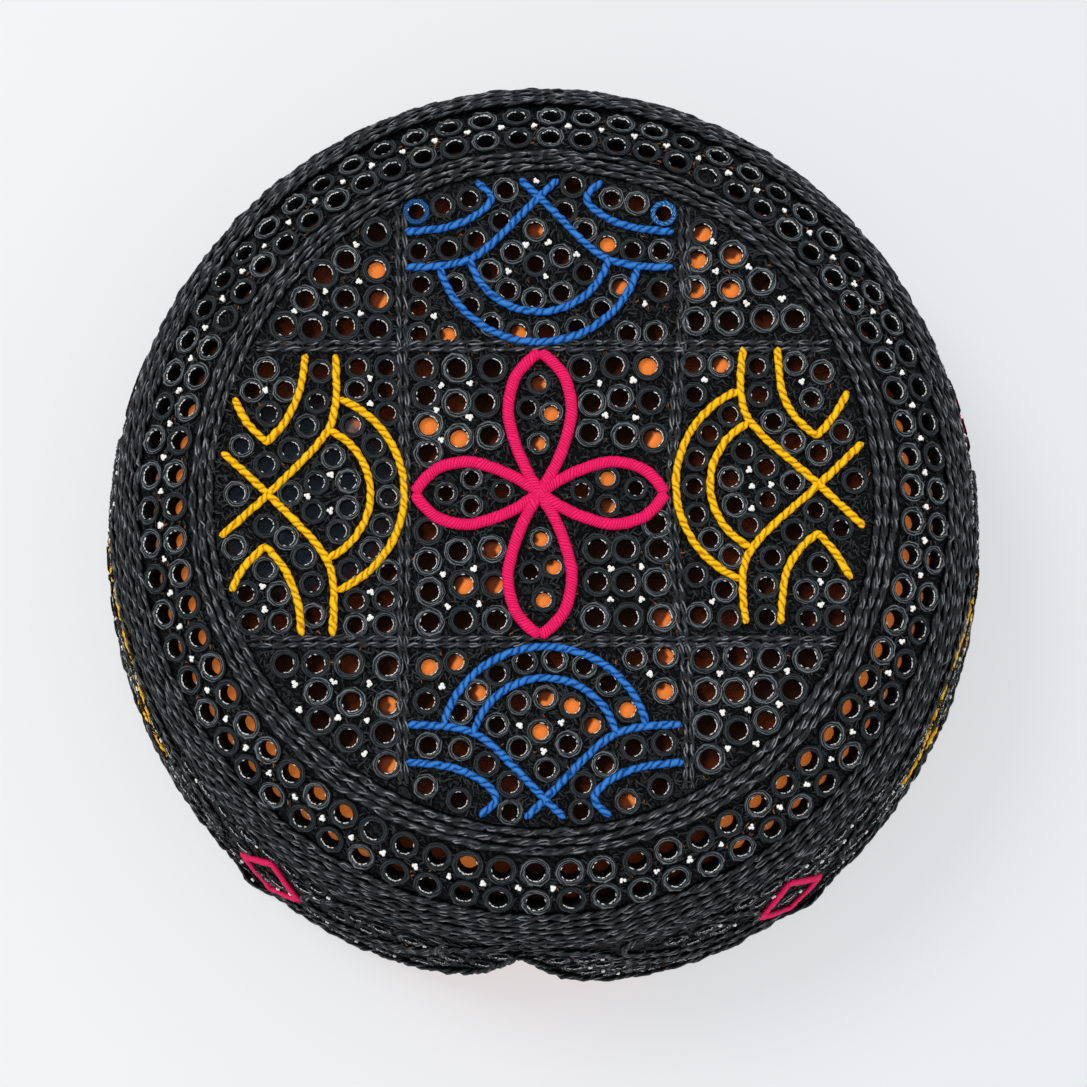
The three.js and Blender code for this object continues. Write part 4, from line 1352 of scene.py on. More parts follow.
# Sub-assemblies
@dataclass
class Workshop:
    """What every sub-assembly shares: the form, the finishes, the node trees and the small stitches."""

    form: CapForm
    finishes: Finishes
    stamps: StampTree
    satin: SatinTree
    ropes: dict[int, RopeTree] = field(default_factory=dict)

    def bind(
        self,
        name: str,
        seats: Sequence[Seat],
        sizes: Sequence[float],
        outward: Sequence[Vector],
        rng: random.Random,
        tube: float = 0.9,
        glints: int = 8,
        blue: bool = False,
    ) -> None:
        """Binds eyelets: two ridges of black thread and pale threads in the hole, painted highlights on one
        side of it.

        Args:
            name: what the pieces' names start with.
            seats: the eyelets' places on the cloth.
            sizes: a scale for each eyelet.
            outward: the side of each hole where the painted highlights go.
            rng: the source of small differences.
            tube: how deep each hole's bound wall is, in millimetres.
            glints: how many painted highlights one eyelet gets.
            blue: whether the binding is blue.
        """
        finish, slot = (self.finishes.blue_black, Slot.BLUE) if blue else (self.finishes.ring, Slot.BLACK)
        tones = [rng.random() for _ in seats]
        for number, (kind, shape) in enumerate((("edges", outer_ridge()), ("bindings", inner_ridge(tube)))):
            piece = self.stamps.stamp(
                f"{name}_eyelet_{kind}", shape, seats, outward, sizes, tones, finish, seed=7 + number
            )
            dressed(piece, slot)
        # Painted highlights: pale threads gathered on the outward side of each hole.
        spots, ways, scales = [], [], []
        for (point, normal), size, way in zip(seats, sizes, outward):
            across = (way - normal * way.dot(normal)).normalized()
            beside = normal.cross(across)
            for k in range(glints):
                angle = 2.0 * ((k + rng.uniform(0, 0.9)) / glints - 0.5)
                if rng.random() < 0.2:
                    angle = rng.uniform(0, math.tau)
                spots.append((point + normal * rng.uniform(-0.1, 0.1) * MM, normal))
                ways.append(across * math.cos(angle) + beside * math.sin(angle))
                scales.append(size * rng.uniform(0.98, 1.03))
        tones = [rng.random() for _ in spots]
        piece = self.stamps.stamp(
            f"{name}_eyelet_glints", edge_glint(), spots, ways, scales, tones, self.finishes.white, turn=0.06
        )
        dressed(piece, Slot.BLACK)

    def ground(
        self,
        name: str,
        draw: Callable[[], tuple[Vector, Vector, Vector] | None],
        blocked: Sequence[tuple[Vector, float]],
        count: int,
        ends: int,
        rng: random.Random,
    ) -> None:
        """Fills the cloth between the eyelets with short stitches, with orange ends among them.

        Args:
            name: what the pieces' names start with.
            draw: gives a random point, the way out of the cloth and a stitch's way, or nothing.
            blocked: points to stay clear of, each with a distance in millimetres.
            count: how many stitches.
            ends: how many orange ends.
            rng: the source of small differences.
        """
        tree = indexed([point for point, _ in blocked])
        seats, ways = [], []
        while len(seats) < count:
            drawn = draw()
            if drawn is None:
                continue
            _, i, far = tree.find(drawn[0])
            if far > blocked[i][1] * MM:
                seats.append(drawn[:2])
                ways.append(drawn[2])
        sizes = [rng.uniform(0.7, 1.3) for _ in seats]
        tones = [rng.random() for _ in seats]
        piece = self.stamps.stamp(
            f"{name}_ground_stitches", ground_stitch(2.1), seats, ways, sizes, tones, self.finishes.stitch,
            turn=0.2,
        )
        dressed(piece, Slot.BLACK)
        chosen = rng.sample(range(len(seats)), ends)
        piece = self.stamps.stamp(
            f"{name}_orange_ends", ground_stitch(1.5),
            [(seats[i][0] + seats[i][1] * 0.2 * MM, seats[i][1]) for i in chosen],
            [ways[i] for i in chosen], [rng.uniform(0.35, 0.8) for _ in chosen],
            [rng.random() for _ in chosen], self.finishes.speck, turn=1.5, seed=4,
        )
        dressed(piece, Slot.COTTON)

    def couch(self, name: str, seats: Sequence[Seat], rng: random.Random, share: float) -> None:
        """Sews black stitches over a cord so that it shows in dashes.

        Args:
            name: the piece's name.
            seats: the cord's places, on its crest.
            rng: the source of small differences.
            share: how much of the cord is covered.
        """
        chosen, ways = [], []
        for i in range(1, len(seats)):
            (before, _), (point, normal) = seats[i - 1], seats[i]
            covered = noise.noise(point * 330 + Vector((rng.random() * 0.1, 0, 5))) * 0.5 + 0.5 < share
            if covered and (point - before).length < 5 * MM:
                along = (point - before).normalized()
                for step in (0.0, 0.5):
                    chosen.append((point + (before - point) * step, normal))
                    ways.append(normal.cross(along) + along * rng.uniform(-0.7, 0.7))
        sizes = [rng.uniform(0.9, 1.25) for _ in chosen]
        tones = [rng.random() for _ in chosen]
        piece = self.stamps.stamp(
            name, ground_stitch(2.3), chosen, ways, sizes, tones, self.finishes.stitch, turn=0.2, seed=3
        )
        dressed(piece, Slot.BLACK)

    def white_knots(self, name: str, seats: Sequence[Seat], rng: random.Random, size: float = 1.0) -> None:
        """Ties small white knots, each of three lumps of thread."""
        spots, scales = [], []
        for point, normal in seats:
            across = normal.orthogonal().normalized()
            beside = normal.cross(across)
            start = rng.uniform(0, math.tau)
            for k in range(3):
                angle = start + k * math.tau / 3 + rng.uniform(-0.4, 0.4)
                reach = rng.uniform(0.18, 0.38) * size * MM
                spots.append((point + (across * math.cos(angle) + beside * math.sin(angle)) * reach, normal))
                scales.append(size * rng.uniform(0.75, 1.15))
        tones = [rng.uniform(0.3, 1) for _ in spots]
        ways = [Vector((0.3, 0.2, 1))] * len(spots)
        piece = self.stamps.stamp(
            name, lump(0.36, 0.42), spots, ways, scales, tones, self.finishes.white, seed=5
        )
        dressed(piece, Slot.BLACK)


@dataclass
class Crown:
    """The flat crown: pierced cloth, bound eyelets, ground stitches and knots."""

    shop: Workshop
    thickness: float = 0.9
    step: float = 3.4
    stitch_count: int = 4600
    chart: CrownChart = field(default_factory=CrownChart)
    eyelets: list[Eyelet] = field(default_factory=list)

    def build(self) -> None:
        """Builds every piece of the crown."""
        form, shop = self.shop.form, self.shop
        rng = random.Random(5)
        self.eyelets = self.chart.eyelets(rng)
        self.cloth()
        for name, blue in (("crown", False), ("crown_blue", True)):
            chosen = [e for e in self.eyelets if e.blue is blue]
            seats = [form.crown(*e.place) for e in chosen]
            # Painted highlights go mostly on the right of each hole.
            outward = [(Vector((1, 0.1, 0)) + Vector((*e.place, 0)) * 0.012) for e in chosen]
            shop.bind(name, seats, [e.size for e in chosen], outward, rng, blue=blue)
        blocked = [(form.crown(*e.place)[0], 2.75 * e.size) for e in self.eyelets]
        shop.ground("crown", lambda: self._draw(rng), blocked, self.stitch_count, 200, rng)
        knots = [form.crown(x, y, 0.45) for x, y in self.chart.white]
        shop.white_knots("crown_white_knots", knots, rng, 1.2)

    def _draw(self, rng: random.Random) -> tuple[Vector, Vector, Vector]:
        """A random place on the crown with a random way."""
        radius = self.shop.form.crown_radius * math.sqrt(rng.random())
        angle, way = rng.uniform(0, math.tau), rng.uniform(0, math.pi)
        seat = self.shop.form.crown(radius * math.cos(angle), radius * math.sin(angle))
        return (*seat, Vector((math.cos(way), math.sin(way), 0)))

    def cloth(self) -> None:
        """The pierced cloth."""
        form = self.shop.form
        outline = [
            (
                form.crown_radius * math.cos(math.tau * i / EDGE_COUNT),
                form.crown_radius * form.length_ratio * math.sin(math.tau * i / EDGE_COUNT),
            )
            for i in range(EDGE_COUNT)
        ]
        holes = [circle(e.place, HOLE_RADIUS * e.size, HOLE_SIDES) for e in self.eyelets]
        sheet = PiercedSheet(
            outline,
            [True] * EDGE_COUNT,
            holes,
            self.step,
            lambda x, y: form.crown(x, y)[0],
            lambda x, y: form.crown(x, y, -self.thickness)[0],
        )
        dressed(sheet.make("crown_cloth"), Slot.BLACK, "crown_panel", material=self.shop.finishes.ground)


@dataclass
class CrownCords:
    """The flower's satin cord, the motifs' plaited cords and the ropes that part the crown's panels."""

    shop: Workshop
    flower_centre: Point = (-0.7, 0.0)
    petal_edge: tuple[Point, ...] = (
        (0, 0), (5, 2.9), (10, 4.9), (16, 6.2), (22.0, 5.1), (25.5, 2.6), (27.6, 0),
    )
    ratios: Point = (0.885, 1.02)
    line: Rope = Rope(strand=0.42, lay=0.34, pitch=5.4, flatten=0.6, wobble=1.0, step=0.85)

    def build(self) -> None:
        """Builds every cord on the crown."""
        self.flower()
        for side, motif, slot, turn, shift in (
            ("back", BLUE_MOTIF, Slot.BLUE, 90, 0.9),
            ("front", BLUE_MOTIF, Slot.BLUE, 270, 0.3),
            ("left", LEFT_MOTIF, Slot.YELLOW, 180, 0.2),
            ("right", RIGHT_MOTIF, Slot.YELLOW, 0, 1.7),
        ):
            self.motif(side, motif, slot, turn, shift)
        self.panel_lines()

    def _seats(self, places: Sequence[Point], lift: float) -> list[Seat]:
        """Seats on the crown."""
        return [self.shop.form.crown(x, y, lift) for x, y in places]

    def flower(self) -> None:
        """Four petals; each cord runs from one petal's tip through the middle to the opposite tip."""
        parts = []
        cx, cy = self.flower_centre
        halves = [(turn, ratio, way) for turn, ratio in zip((0, 90), self.ratios) for way in (1, -1)]
        for number, (turn, ratio, way) in enumerate(halves):
            out = [(along * ratio, way * across) for along, across in self.petal_edge]
            both = [(-x, -y) for x, y in reversed(out)][:-1] + out
            cosine, sine = math.cos(math.radians(turn)), math.sin(math.radians(turn))
            places = [
                (cx + x * cosine - y * sine, cy + x * sine + y * cosine) for x, y in smooth_line(both, 90)
            ]
            seats = self._seats(places, 0.55 + 0.16 * number / 3)
            parts.append(
                self.shop.satin.along(
                    f"petal_{number}", seats, self.shop.finishes.magenta, 1.16, 0.72, rounding=0.2,
                    seed=float(number),
                )
            )
        dressed(joined("flower_satin_cord", parts), Slot.MAGENTA, "flower_cord")

    def _cord(
        self, name: str, places: Sequence[Point], lift: float, slot: Slot, seed: float
    ) -> bpy.types.Object:
        """One plaited cord of a motif."""
        return self.shop.satin.along(
            name, self._seats(places, lift), self.shop.finishes.by_slot[slot], 0.74, 0.58,
            turn=1.8, ridge=0.17, seed=seed,
        )

    def motif(self, side: str, motif: Motif, slot: Slot, turn: int, shift: float) -> None:
        """One side's lattice and its two hooks."""
        lines = [CrownChart.turned(line, turn, shift) for line in motif.lattice()]
        parts = [
            self._cord(f"{side}_{i}", line, 0.36 + 0.05 * i, slot, float(i + turn))
            for i, line in enumerate(lines)
        ]
        dressed(joined(f"{side}_motif_satin", parts), slot, f"{side}_motif_cord")
        for number, way in ((1, 1), (2, -1)):
            places = CrownChart.turned(motif.hooked(way), turn, shift)
            piece = self._cord(f"{side}_hook_satin_{number}", places, 0.36, slot, float(9 + turn + way))
            dressed(piece, slot, f"{side}_hook_cord_{number}")

    def panel_lines(self) -> None:
        """The black ropes that part the crown into nine panels."""
        parts = []
        reach = self.shop.form.crown_radius - 0.5
        leans_and_bows = ((-0.010, -0.6), (0.0, 2.9))
        for number, level in enumerate((-27.0, 25.0, 29.5, -29.2)):
            upright = number < 2
            half = math.sqrt(reach * reach - level * level) - (0.9 if upright else 0.0)
            for twin, gap in enumerate((-0.65, 0.65)):
                if upright:
                    lean, bow = leans_and_bows[number]
                    rows = np.linspace(-half, half, 60)
                    bulges = [bow * (1 - math.cos(math.pi * min(1.0, abs(y) / 45))) / 2 for y in rows]
                    places = [(level + gap + lean * y + bulge, y) for y, bulge in zip(rows, bulges)]
                else:
                    places = [(x, level + gap) for x in np.linspace(-half, half, 60)]
                parts.append(
                    self.line.along(
                        f"panel_line_{number}_{twin}", self._seats(places, 0.15), self.shop.finishes.rope,
                        self.shop.ropes, seed=number * 2.0 + twin,
                    )
                )
        dressed(joined("crown_panel_ropes", parts), Slot.BLACK)


@dataclass
class Shoulder:
    """The sloped shoulder with its two rows of eyelets and its white knots."""

    shop: Workshop
    thickness: float = 1.2
    eyelets: list[Eyelet] = field(default_factory=list)

    def build(self) -> None:
        """Builds every piece of the shoulder."""
        form, shop = self.shop.form, self.shop
        rng = random.Random(21)
        self.eyelets = ring_rows(form, rng)
        edge = form.down_at(51.0)
        outline = side_outline(stepped((SEAM_LEFT, edge), (SEAM_RIGHT, edge), EDGE_STEP), edge, 0.0)
        side_cloth(shop, "shoulder_cloth", outline, self.eyelets, self.thickness, "shoulder_ring")
        bind_side(shop, "shoulder", self.eyelets, rng)
        bearings = [-3.75 + 360 / ROW_COUNT * k for k in range(ROW_COUNT) if k != 2]
        knots = [form.side(bearing, form.down_at(55.25), 0.35) for bearing in bearings]
        shop.white_knots("shoulder_white_knots", knots, rng, 1.15)
        blocked = [(form.side(*e.place)[0], 2.9 * e.size) for e in self.eyelets]
        shop.ground("shoulder", lambda: draw_side(form, rng, (6.5, edge - 3.5)), blocked, 1100, 170, rng)


def notched(form: CapForm, foot: float, margin: float = 0.0) -> list[Point]:
    """A layer's lower edge, cut away at the front opening widened by a margin."""
    notch = [(b * SPREAD, min(s, foot)) for b, s in form.on_arch(margin)]
    before = stepped((SEAM_LEFT, foot), notch[0], EDGE_STEP)
    return before + notch + stepped(notch[-1], (SEAM_RIGHT, foot), EDGE_STEP)[1:]


def side_outline(
    bottom: list[Point], foot: float, top: float, upper: list[Point] | None = None
) -> tuple[list[Point], list[bool]]:
    """A layer's outline on the side, from seam to seam.

    Args:
        bottom: its lower edge, from the left seam to the right one.
        foot: how far down its ends lie.
        top: how far down its upper edge lies.
        upper: an upper edge that gets no wall; otherwise it is even and has one.

    Returns:
        The outline, and whether each of its edges has a wall.
    """
    runs = (
        (bottom, True),
        (stepped((SEAM_RIGHT, foot), (SEAM_RIGHT, top), EDGE_STEP), False),
        (upper or stepped((SEAM_RIGHT, top), (SEAM_LEFT, top), EDGE_STEP), upper is None),
        (stepped((SEAM_LEFT, top), (SEAM_LEFT, foot), EDGE_STEP), False),
    )
    return [p for run, _ in runs for p in run], [flag for run, flag in runs for _ in run]


def side_cloth(
    shop: Workshop,
    name: str,
    outline: tuple[list[Point], list[bool]],
    eyelets: Sequence[Eyelet],
    thickness: float,
    node: str,
) -> None:
    """A pierced layer of cloth on the side."""
    form = shop.form
    holes = []
    for e in eyelets:
        bearing, down = e.place
        across = SPREAD * 180 / math.pi / form.at("radius", down)
        holes.append(circle((bearing * SPREAD, down), HOLE_RADIUS * e.size, HOLE_SIDES, across))
    sheet = PiercedSheet(
        *outline, holes, GRID_STEP,
        lambda u, s: form.side(u / SPREAD, s)[0],
        lambda u, s: form.side(u / SPREAD, s, -thickness)[0],
    )
    dressed(sheet.make(name), Slot.BLACK, node, material=shop.finishes.ground)


def bind_side(shop: Workshop, name: str, eyelets: Sequence[Eyelet], rng: random.Random) -> None:
    """Binds the eyelets on the side; their painted highlights go on the side away from the crown."""
    seats = [shop.form.side(*e.place) for e in eyelets]
    outward = [Vector((normal.x, normal.y, -2.0)) for _, normal in seats]
    shop.bind(name, seats, [e.size for e in eyelets], outward, rng, tube=2.6)


def draw_side(
    form: CapForm,
    rng: random.Random,
    downs: Point,
    allowed: Callable[[float, float], bool] = lambda bearing, down: True,
) -> tuple[Vector, Vector, Vector] | None:
    """A random place on the side with a mostly level way, or nothing where none is allowed."""
    bearing, down = rng.uniform(-180, 180), rng.uniform(*downs)
    if not allowed(bearing, down):
        return None
    point, normal = form.side(bearing, down)
    angle = rng.gauss(0, 0.7)
    level = Vector((math.cos(math.radians(bearing)), math.sin(math.radians(bearing)), 0))
    return point, normal, level * math.cos(angle) + normal.cross(level) * math.sin(angle)


@dataclass
class Lining:
    """The orange cotton lining, which puffs up into some eyelets and hangs slack behind the others, and is
    painted in shade behind many of them.
    """

    shop: Workshop
    crown_eyelets: Sequence[Eyelet]
    side_eyelets: Sequence[Eyelet]
    seat: float = 3.1
    thickness: float = 0.7
    foot_z: float = 2.0
    trees: list[tuple[KDTree, Sequence[Eyelet]]] = field(default_factory=list)

    def __post_init__(self) -> None:
        """Indexes the eyelets for the depth of the lining behind each."""
        for eyelets, spread in ((self.crown_eyelets, 1.0), (self.side_eyelets, SPREAD)):
            tree = indexed([(e.place[0] * spread, e.place[1], 0) for e in eyelets])
            self.trees.append((tree, eyelets))

    def depth(self, which: int, u: float, v: float) -> float:
        """How far below the cloth's outer face the lining's outer face lies."""
        tree, eyelets = self.trees[which]
        base = self.seat + 0.6 * noise.noise(Vector((u, v, which * 9)) * 0.1)
        _, i, far = tree.find((u, v, 0))
        t = min(1.0, max(0.0, (far - 2.05) / 1.1))
        return eyelets[i].behind.value[0] * (1 - t) + base * t

    def shade(self, which: int, u: float, v: float) -> float:
        """The painted shade of the lining, from 1 for unshaded to 2 for full shade: each eyelet's own level,
        with a painted shadow on one side of a line across its hole.
        """
        tree, eyelets = self.trees[which]
        spot, i, far = tree.find((u, v, 0))
        # Away from the holes the lining is painted in half shade.
        if far > 2.4:
            return 1.4
        e = eyelets[i]
        level = e.behind.value[1]
        # Painted shadow on the side of the eyelet's line away from lit_side.
        past = (u - spot.x) * math.cos(e.lit_side) + (v - spot.y) * math.sin(e.lit_side) - e.lit_edge
        return 1.0 + level + (0.0 if past > 0 else min(0.95 - level, 0.62))

    @staticmethod
    def fold(u: float, v: float) -> float:
        """The soft folds of the lining's inner face, in millimetres."""
        return 0.7 + 0.7 * noise.noise(Vector((u, v, 0)) * 0.05)

    def build(self) -> None:
        """Builds the lining's top and skirt as one piece."""
        form = self.shop.form
        rim = form.at("radius", 0.0) - 0.4
        angles = [math.tau * i / EDGE_COUNT for i in range(EDGE_COUNT)]
        outline = [(rim * math.sin(a), -rim * form.length_ratio * math.cos(a)) for a in angles]

        def top(x: float, y: float, extra: float = 0.0) -> Vector:
            """A place on the lining's top."""
            edge = math.hypot(x, y / form.length_ratio) > rim - 0.05
            depth = self.seat if edge or extra else self.depth(0, x, y)
            return Vector((x, y, form.height - depth - extra)) * MM

        extra = [p for e in self.crown_eyelets for p in dotted(e.place)]
        disc = PiercedSheet(
            outline, [False] * EDGE_COUNT, [], GRID_STEP, top,
            lambda x, y: top(x, y, self.thickness + self.fold(x, y)), extra,
            lambda x, y: self.shade(0, x, y),
        ).make("lining_top")
        skirt = self._skirt()
        whole = joined("lining_cotton", [disc, skirt], weld=0.0006)
        whole.data.shade_smooth()
        dressed(whole, Slot.COTTON, "lining", material=self.shop.finishes.cotton)

    def _skirt(self) -> bpy.types.Object:
        """The lining's side, from the crown's edge to just above the rim, cut away at the front opening."""
        form = self.shop.form
        foot = form.down_at(self.foot_z)
        bearings = np.linspace(SEAM_BEARING, SEAM_BEARING - 360, EDGE_COUNT + 1)[:-1]
        upper = [(float(b) * SPREAD, 0.0) for b in bearings]
        outline, walled = side_outline(notched(form, foot, 1.2), foot, 0.0, upper)

        def side(u: float, s: float, more: float = 0.0) -> Vector:
            """A place on the lining's side."""
            edge = min(abs(s - foot), s, abs(u - SEAM_LEFT), abs(u - SEAM_RIGHT)) < 0.05
            depth = self.seat if edge or more else self.depth(1, u, s)
            if s < 0.05:
                angle = math.radians(u / SPREAD)
                rim = form.at("radius", 0.0) - 0.4
                return Vector((
                    rim * math.sin(angle),
                    -rim * form.length_ratio * math.cos(angle),
                    form.height - self.seat - more,
                )) * MM
            return form.side(u / SPREAD, s, -depth - more)[0]

        extra = [p for e in self.side_eyelets for p in dotted((e.place[0] * SPREAD, e.place[1]))]
        return PiercedSheet(
            outline, walled, [], 3.4, side, lambda u, s: side(u, s, self.thickness + self.fold(u, s)), extra,
            lambda u, s: self.shade(1, u, s),
        ).make("lining_skirt")


@dataclass
class Wall:
    """The side band: pierced cloth, its eyelets, its motifs' cords and its diamonds."""

    shop: Workshop
    thickness: float = 2.0
    band_turn: float = -2.1
    diamond_half: Point = (7.2, 13.4)
    diamond_z: float = 20.0
    knot_cross: tuple[Point, ...] = ((-24.0, 19.2), (-16.5, 18.6), (-9.0, 13.4), (0, 7.4), (4.2, 4.6))
    knot_arc: Triple = (10.2, 20.2, 66.0)
    outline_rope: Rope = Rope(strand=0.42, lay=0.4, pitch=5.5, flatten=0.6, wobble=0.6, step=1.2)
    eyelets: list[Eyelet] = field(default_factory=list)
    lines: list[list[Point]] = field(default_factory=list)

    def _place(self, centre: float, across: float, z: float) -> Point:
        """A place on the wall as a bearing and a distance down, from its distance across a panel."""
        down = self.shop.form.down_at(z)
        bearing = centre + self.band_turn + math.degrees(across / self.shop.form.at("radius", down))
        return (bearing - 360 if bearing > 180 else bearing), down

    def _seats(self, places: Sequence[Point], lift: float) -> list[Seat]:
        """Seats on the wall."""
        return [self.shop.form.side(bearing, down, lift) for bearing, down in places]

    def build(self) -> None:
        """Builds the wall's pieces: first the cords, which say where no eyelet goes."""
        rng = random.Random(33)
        self.diamonds()
        self.knots()
        self.outlines()
        self.fill_eyelets(rng)
        self.cloth()
        bind_side(self.shop, "wall", self.eyelets, rng)
        self.white_knots(rng)
        foot = self.shop.form.foot - 1.0
        arch = ArchSpace(self.shop.form)
        blocked = [(self.shop.form.side(*e.place)[0], 2.9 * e.size) for e in self.eyelets]
        downs = (self.shop.form.down_at(41), foot)
        self.shop.ground(
            "wall",
            lambda: draw_side(self.shop.form, rng, downs, lambda b, s: not arch.inside(b, s, 1.0)),
            blocked, 2500, 120, rng,
        )

    def diamonds(self) -> None:
        """The satin diamonds between the panels."""
        couched: list[Seat] = []
        for name, bearing in (
            ("left_front_diamond", -36),
            ("right_front_diamond", 36),
            ("left_back_diamond", -108),
            ("right_back_diamond", 108),
            ("back_diamond", 180),
        ):
            wide, high = self.diamond_half
            corners = [(wide, 0), (0, high), (-wide, 0), (0, -high), (wide, 0)]
            places = []
            for (a, b), (c, d) in zip(corners, corners[1:]):
                places += [
                    self._place(bearing, a + (c - a) * i / 10, self.diamond_z + b + (d - b) * i / 10)
                    for i in range(10)
                ]
            self.lines.append(places)
            lift = 0.4 if abs(bearing) < 90 else 0.0
            piece = self.shop.satin.along(
                f"{name}_satin", self._seats(places, lift), self.shop.finishes.magenta, 1.0, 0.6, closed=True
            )
            dressed(piece, Slot.MAGENTA, name)
            if abs(bearing) > 90:
                couched += self._seats(places, 0.55)
        self.shop.couch("diamond_couching", couched, random.Random(3), 0.7)

    def knots(self) -> None:
        """The yellow and blue knots of the side and back panels."""
        couched: list[Seat] = []
        arc_z, arc_radius, arc_half = self.knot_arc
        for name, bearing, slot in (
            ("left_band_knot", -72, Slot.YELLOW),
            ("right_band_knot", 72, Slot.YELLOW),
            ("left_back_band_knot", -144, Slot.BLUE),
            ("right_back_band_knot", 144, Slot.BLUE),
        ):
            runs = [smooth_line([(way * a, z) for a, z in self.knot_cross], 40) for way in (1, -1)]
            runs.append([(across, arc_z - out) for out, across in arc(0.0, arc_radius, arc_half)])
            parts = []
            for i, run in enumerate(runs):
                places = [self._place(bearing, a, z) for a, z in run]
                self.lines.append(places)
                parts.append(
                    self.shop.satin.along(
                        f"{name}_{i}", self._seats(places, 0.0), self.shop.finishes.by_slot[slot], 0.8, 0.5,
                        turn=1.8, ridge=0.17, seed=float(i + bearing),
                    )
                )
            couched += [seat for run in self.lines[-3:] for seat in self._seats(run, 0.5)]
            dressed(joined(f"{name}_satin", parts), slot, name)
        self.shop.couch("knot_couching", couched, random.Random(4), 0.42)

    def outlines(self) -> None:
        """Black ropes that frame the front lobes and the panels."""
        form = self.shop.form
        loops: list[tuple[list[Point], bool]] = [
            ([(10.5, 36), (12.5, 40), (17, 41), (22.5, 38.5), (27, 32), (29, 25), (27.5, 19.5), (20, 22.5),
              (14, 27.5), (11, 31.5)], True),
            ([(-12.8, 37), (-16, 40.5), (-22, 40), (-28, 36), (-32, 29), (-32.6, 23), (-28, 20),
              (-20.5, 23.5), (-15, 29)], True),
            ([(-3.3, 40), (2.5, 38.5), (7.5, 35), (10, 28.5), (14.5, 21), (21.5, 13.5), (29, 7.5),
              (33, 3.5)], False),
            ([(-3.3, 40), (-8, 38), (-12, 33.5), (-15.5, 27), (-20.5, 19.5), (-27.5, 12.5), (-34, 7),
              (-38, 3.5)], False),
        ]
        for centre in (-72, 72, -144, 144):
            ring = []
            for i in range(28):
                angle = math.tau * i / 28
                across = 43.0 * math.copysign(abs(math.cos(angle)) ** 0.8, math.cos(angle))
                bearing, down = self._place(centre, across, 21.5 + 15.5 * math.sin(angle))
                ring.append((bearing, form.at("z", down)))
            loops.append((ring, True))
        parts = []
        for number, (loop, closed) in enumerate(loops):
            spots = [*loop, loop[0]] if closed else loop
            fine = smooth_line(spots, 110)
            fine = fine[:-1] if closed else fine
            for twin, gap in enumerate((0.0, 1.5)):
                places = [(b, form.down_at(z) + gap) for b, z in fine]
                self.lines.append(places)
                parts.append(
                    self.outline_rope.along(
                        f"outline_{number}_{twin}", self._seats(places, 0.35), self.shop.finishes.rope,
                        self.shop.ropes, closed=closed, seed=number * 3.1 + twin,
                    )
                )
        dressed(joined("wall_outline_ropes", parts), Slot.BLACK)

    def fill_eyelets(self, rng: random.Random) -> None:
        """Eyelets in staggered rows wherever no cord runs."""
        form = self.shop.form
        arch = ArchSpace(form)
        lines = [form.side(b, s)[0] for run in self.lines for b, s in run]
        tree = indexed(lines)
        for row, z in enumerate((37.5, 32.0, 26.5, 21.0, 15.5, 10.0, 5.2)):
            count = 92
            for k in range(count):
                bearing = -180 + (k + 0.5 * (row % 2)) * 360 / count + rng.uniform(-0.25, 0.25)
                if bearing > SEAM_BEARING:
                    bearing -= 360
                if abs(bearing - SEAM_BEARING) < 2.4 or abs(bearing - SEAM_BEARING + 360) < 2.4:
                    continue
                down = form.down_at(z + rng.uniform(-0.3, 0.3))
                point = form.side(bearing, down)[0]
                if tree.find(point)[2] < 3.1 * MM or arch.inside(bearing, down, 5.2):
                    continue
                behind = rng.choice((Behind.TUBE, Behind.HALF_PAINTED_SHADE, Behind.FULL_PAINTED_SHADE))
                self.eyelets.append(Eyelet((bearing, down), size=rng.uniform(0.82, 0.92), behind=behind))

    def cloth(self) -> None:
        """The pierced wall, cut away at the front opening."""
        form = self.shop.form
        outline = side_outline(notched(form, form.foot), form.foot, form.down_at(51.0) + 0.3)
        side_cloth(self.shop, "wall_cloth", outline, self.eyelets, self.thickness, "side_band")

    def white_knots(self, rng: random.Random) -> None:
        """White knots between the wall's eyelets."""
        chosen = [e for e in self.eyelets if rng.random() < 0.55]
        seats = []
        for e in chosen:
            bearing, down = e.place
            seats.append(self.shop.form.side(bearing + 1.95, down + 1.6, 0.35))
        self.shop.white_knots("wall_white_knots", seats, rng, 0.85)


@dataclass(frozen=True)
class ArchSpace:
    """Says which places on the front lie in the pointed opening."""

    form: CapForm

    def inside(self, bearing: float, down: float, margin: float) -> bool:
        """Whether a place lies in the opening widened by a margin, in millimetres."""
        if abs(bearing) > 60:
            return False
        z = self.form.at("z", down)
        across = abs(self.form.at("radius", down) * math.sin(math.radians(bearing)) - self.form.arch_centre)
        places, heights = zip(*self.form.arch)
        edge = float(np.interp(across, places, heights, right=-99.0))
        near = float(np.interp(max(across - margin, 0), places, heights, right=-99.0))
        return z < max(edge + margin * 0.6, near)


